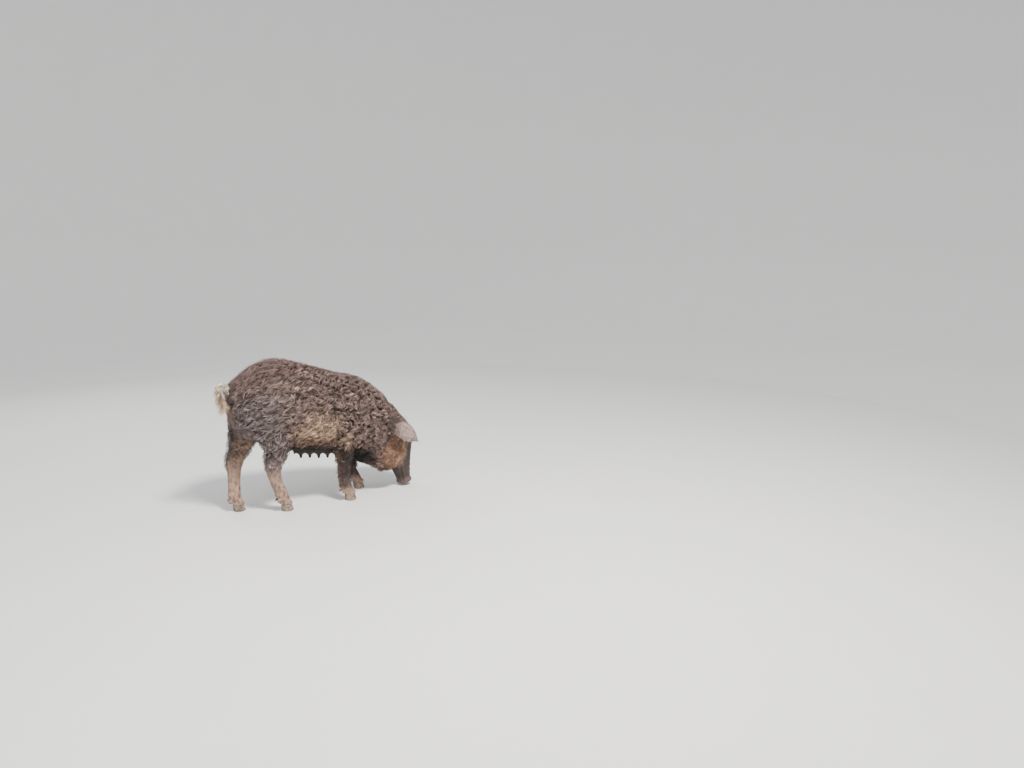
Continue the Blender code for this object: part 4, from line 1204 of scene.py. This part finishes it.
class Nodes:
    """A short way to make and link the nodes of one material."""

    def __init__(self, name):
        self.material = bpy.data.materials.new(name)
        self.material.use_nodes = True
        self.tree = self.material.node_tree
        self.shader = self.tree.nodes["Principled BSDF"]

    def add(self, kind, inputs=(), **settings):
        node = assign(self.tree.nodes.new(kind), **settings)
        for key, value in inputs:
            node.inputs[key].default_value = value
        return node

    def join(self, start, end):
        self.tree.links.new(start, end)

    def shade(self, colour, roughness, normal):
        """Links each source to the shader, or sets the plain value given for it."""
        for key, value in (("Base Color", colour), ("Roughness", roughness), ("Normal", normal)):
            if isinstance(value, float):
                self.shader.inputs[key].default_value = value
            elif value is not None:
                self.join(value, self.shader.inputs[key])

    def attribute(self, name, output):
        return self.add("ShaderNodeAttribute", attribute_name=name).outputs[output]

    def placed(self, node):
        """A texture node set in the object's own coordinates."""
        where = self.add("ShaderNodeTexCoord")
        self.join(where.outputs["Object"], node.inputs["Vector"])
        return node

    def noise(self, scale, detail=3.0):
        node = self.add("ShaderNodeTexNoise", (("Scale", scale), ("Detail", detail)))
        return self.placed(node).outputs["Fac"]

    def scaled(self, source, low, high):
        """The source's range from 0 to 1 laid out from low to high."""
        node = self.add("ShaderNodeMapRange", (("To Min", low), ("To Max", high)))
        self.join(source, node.inputs["Value"])
        return node.outputs["Result"]

    def times(self, colour, *factors):
        """The colour made darker or lighter by each factor."""
        for factor in factors:
            node = self.add("ShaderNodeVectorMath", operation="MULTIPLY")
            self.join(colour, node.inputs[0])
            spread = self.add("ShaderNodeCombineXYZ")
            for axis in range(3):
                self.join(factor, spread.inputs[axis])
            self.join(spread.outputs[0], node.inputs[1])
            colour = node.outputs["Vector"]
        return colour

    def bumped(self, height, distance, strength, after=None):
        node = self.add("ShaderNodeBump", (("Distance", distance), ("Strength", strength)))
        self.join(height, node.inputs["Height"])
        if after is not None:
            self.join(after, node.inputs["Normal"])
        return node.outputs["Normal"]

    def between(self, source, first, last):
        """A colour from the first to the last as the source goes from 0 to 1."""
        node = self.add("ShaderNodeValToRGB")
        node.color_ramp.elements[0].color = (*first, 1)
        node.color_ramp.elements[1].color = (*last, 1)
        self.join(source, node.inputs["Fac"])
        return node.outputs["Color"]


def coat_material():
    """Bristle: painted shade at the root, paler towards the tip, a little glossy."""
    nodes = Nodes("coat_bristle")
    # Painted shade: darker at the root of each strand, paler towards the tip
    lighter = nodes.scaled(nodes.attribute("Reach", "Fac"), 0.16, 1.75)
    patchy = nodes.scaled(nodes.noise(42.0, 4.0), 0.18, 1.86)
    colour = nodes.times(nodes.attribute("Marking", "Color"), lighter, patchy)
    rough = nodes.scaled(nodes.noise(300.0), 0.46, 0.68)
    nodes.shade(colour, rough, nodes.bumped(nodes.noise(900.0), 0.0004, 0.5))
    nodes.shader.inputs["Specular IOR Level"].default_value = 0.38
    return nodes.material


def skin_material():
    """Skin marked as the coat is, with painted shade where the coat over it is thick, and with
    pores and creases.
    """
    nodes = Nodes("sow_skin")
    # Painted shade: the skin darker where the coat over it is thick
    under_coat_shade = nodes.scaled(nodes.attribute("Cover", "Fac"), 0.95, 0.12)
    patchy = nodes.scaled(nodes.noise(34.0, 5.0), 0.68, 1.30)
    colour = nodes.times(nodes.attribute("Marking", "Color"), under_coat_shade, patchy)
    rough = nodes.scaled(nodes.noise(80.0), 0.52, 0.82)
    creases = nodes.add("ShaderNodeTexVoronoi", (("Scale", 150.0),), feature="DISTANCE_TO_EDGE")
    creases = nodes.placed(creases).outputs["Distance"]
    pores = nodes.bumped(nodes.noise(620.0, 2.0), 0.0006, 0.6)
    nodes.shade(colour, rough, nodes.bumped(creases, 0.0012, 0.5, pores))
    nodes.shader.inputs["Specular IOR Level"].default_value = 0.32
    return nodes.material


def horn_material():
    """Worn hoof horn with rings and dried mud."""
    nodes = Nodes("hoof_horn")
    sizes = (("Scale", 95.0), ("Distortion", 2.5))
    rings = nodes.placed(nodes.add("ShaderNodeTexWave", sizes, bands_direction="Z")).outputs["Fac"]
    mud = nodes.noise(60.0, 6.0)
    mix = nodes.add("ShaderNodeMix", data_type="RGBA")
    colours = [socket for socket in mix.inputs if socket.type == "RGBA"]
    colours[0].default_value = (0.070, 0.052, 0.042, 1)
    colours[1].default_value = (0.360, 0.270, 0.200, 1)
    nodes.join(nodes.scaled(mud, -0.7, 1.9), mix.inputs["Factor"])
    colour = nodes.times(mix.outputs[2], nodes.scaled(rings, 0.8, 1.15))
    normal = nodes.bumped(mud, 0.0010, 0.5, nodes.bumped(rings, 0.0008, 0.7))
    nodes.shade(colour, nodes.scaled(mud, 0.35, 0.85), normal)
    return nodes.material


def eye_material():
    nodes = Nodes("wet_eye")
    colour = nodes.between(nodes.noise(190.0), (0.010, 0.006, 0.004), (0.060, 0.032, 0.018))
    nodes.shade(colour, 0.06, None)
    nodes.shader.inputs["Coat Weight"].default_value = 1.0
    return nodes.material


def floor_material():
    nodes = Nodes("studio_floor")
    colour = nodes.between(nodes.noise(3.0), (0.78, 0.775, 0.76), (0.81, 0.805, 0.79))
    nodes.shade(colour, 0.9, None)
    return nodes.material


def make_claw(leg, part):
    """One half of the cloven hoof, rounded, with a band at the coronet and a worn toe."""
    foot = LEGS[leg][-1]
    side = side_of(leg)
    middle = -foot[1] * side
    front = foot[0] + HOOF_FRONT
    rings = []
    for z, size, forward in HOOF_RINGS:
        ring = []
        for c, s in circle(28):
            dx = -HOOF_LENGTH * size * (0.5 - 0.5 * c)
            taper = 1 - 0.45 * max(0.0, c) ** 1.6
            if s >= 0:
                dy = 0.002 + HOOF_WIDTH * size * (abs(s) ** 0.75) * taper
            else:
                dy = 0.002 + 0.0012 * (1 - abs(s))
            ring.append(Vector((front + forward + dx, middle + dy * part * side, max(z, 0.0003))))
        rings.append(ring)
    which = "outer" if part > 0 else "inner"
    return loft("hoof_" + leg + "_" + which, rings)


def move(thing, shift):
    thing.data.transform(Matrix.Translation(shift))


def make_stage():
    """A pale floor that rises far off all round, so that no horizon shows."""
    shape = bmesh.new()
    rows = []
    for radius, height in STAGE:
        rows.append([shape.verts.new((radius * c, radius * s, height)) for c, s in circle(64)])
    shape.faces.new(rows[0])
    join_rows(shape, rows)
    floor = new_object("studio_floor", shape)
    for polygon in floor.data.polygons:
        polygon.use_smooth = len(polygon.vertices) == 4
    floor.data.materials.append(floor_material())


def aimed(thing, place, way):
    """Puts a light or the camera at a place, looking along the way given."""
    turn = way.to_track_quat("-Z", "Y")
    assign(thing, location=place, rotation_mode="QUATERNION", rotation_quaternion=turn)


def area_light(name, place, size, power, colour):
    light = assign(bpy.data.lights.new(name, "AREA"), size=size, energy=power, color=colour)
    aimed(linked(name, light), place, Vector(LIGHT_AIM) - Vector(place))


def make_lights():
    world = bpy.data.worlds.new("studio")
    bpy.context.scene.world = world
    world.use_nodes = True
    inputs = world.node_tree.nodes["Background"].inputs
    inputs["Color"].default_value = (0.93, 0.96, 1.0, 1)
    inputs["Strength"].default_value = 0.85
    area_light("key", (0.4, -2.9, 4.2), 0.8, 420, (1.0, 0.97, 0.93))
    area_light("fill", (-3.6, -2.0, 2.0), 3.0, 30, (0.92, 0.96, 1.0))
    area_light("back", (-0.8, 3.6, 3.0), 2.4, 60, (1.0, 0.98, 0.95))


def make_camera():
    camera = bpy.data.cameras.new("camera")
    assign(camera, lens=CAMERA_LENS, sensor_width=36.0, clip_start=0.05, clip_end=100.0)
    thing = linked("camera", camera)
    aimed(thing, Vector(CAMERA_PLACE) + SHIFT, Vector(CAMERA_AIM))
    bpy.context.scene.camera = thing


def packed_shift():
    """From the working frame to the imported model's frame, read off the near hind claw."""
    low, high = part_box("claw_hind_right_outer")
    foot = LEGS["hind_right"][-1]
    return Vector((high.x - (foot[0] + HOOF_FRONT + HOOF_TOE), low.y - (foot[1] - HOOF_WIDTH), 0.0))


SHIFT = packed_shift()

skin = make_skin()
lines_of_parts = part_lines()
coat = make_coat(skin, lines_of_parts)
colour_skin(skin, lines_of_parts)
move(skin, SHIFT)
for polygon in skin.data.polygons:
    polygon.use_smooth = True
skin.data.materials.clear()
skin.data.materials.append(skin_material())
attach(skin, "root")
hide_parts(*FLESH)

bristle = coat_material()
for piece in coat:
    move(piece, SHIFT)
    piece.data.materials.append(bristle)
    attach(piece, "root")

horn = horn_material()
wet = eye_material()
for leg in LEGS:
    for part, which in ((1, "outer"), (-1, "inner")):
        hoof = make_claw(leg, part)
        move(hoof, SHIFT)
        for polygon in hoof.data.polygons:
            polygon.use_smooth = len(polygon.vertices) == 4
        hoof.data.materials.append(horn)
        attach(hoof, "root")
        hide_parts("claw_" + leg + "_" + which)
for name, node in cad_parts.items():
    for start, finish in (("dewclaw", horn), ("eye", wet)):
        if name.startswith(start):
            for slot in node.material_slots:
                slot.material = finish

make_stage()
make_lights()
make_camera()
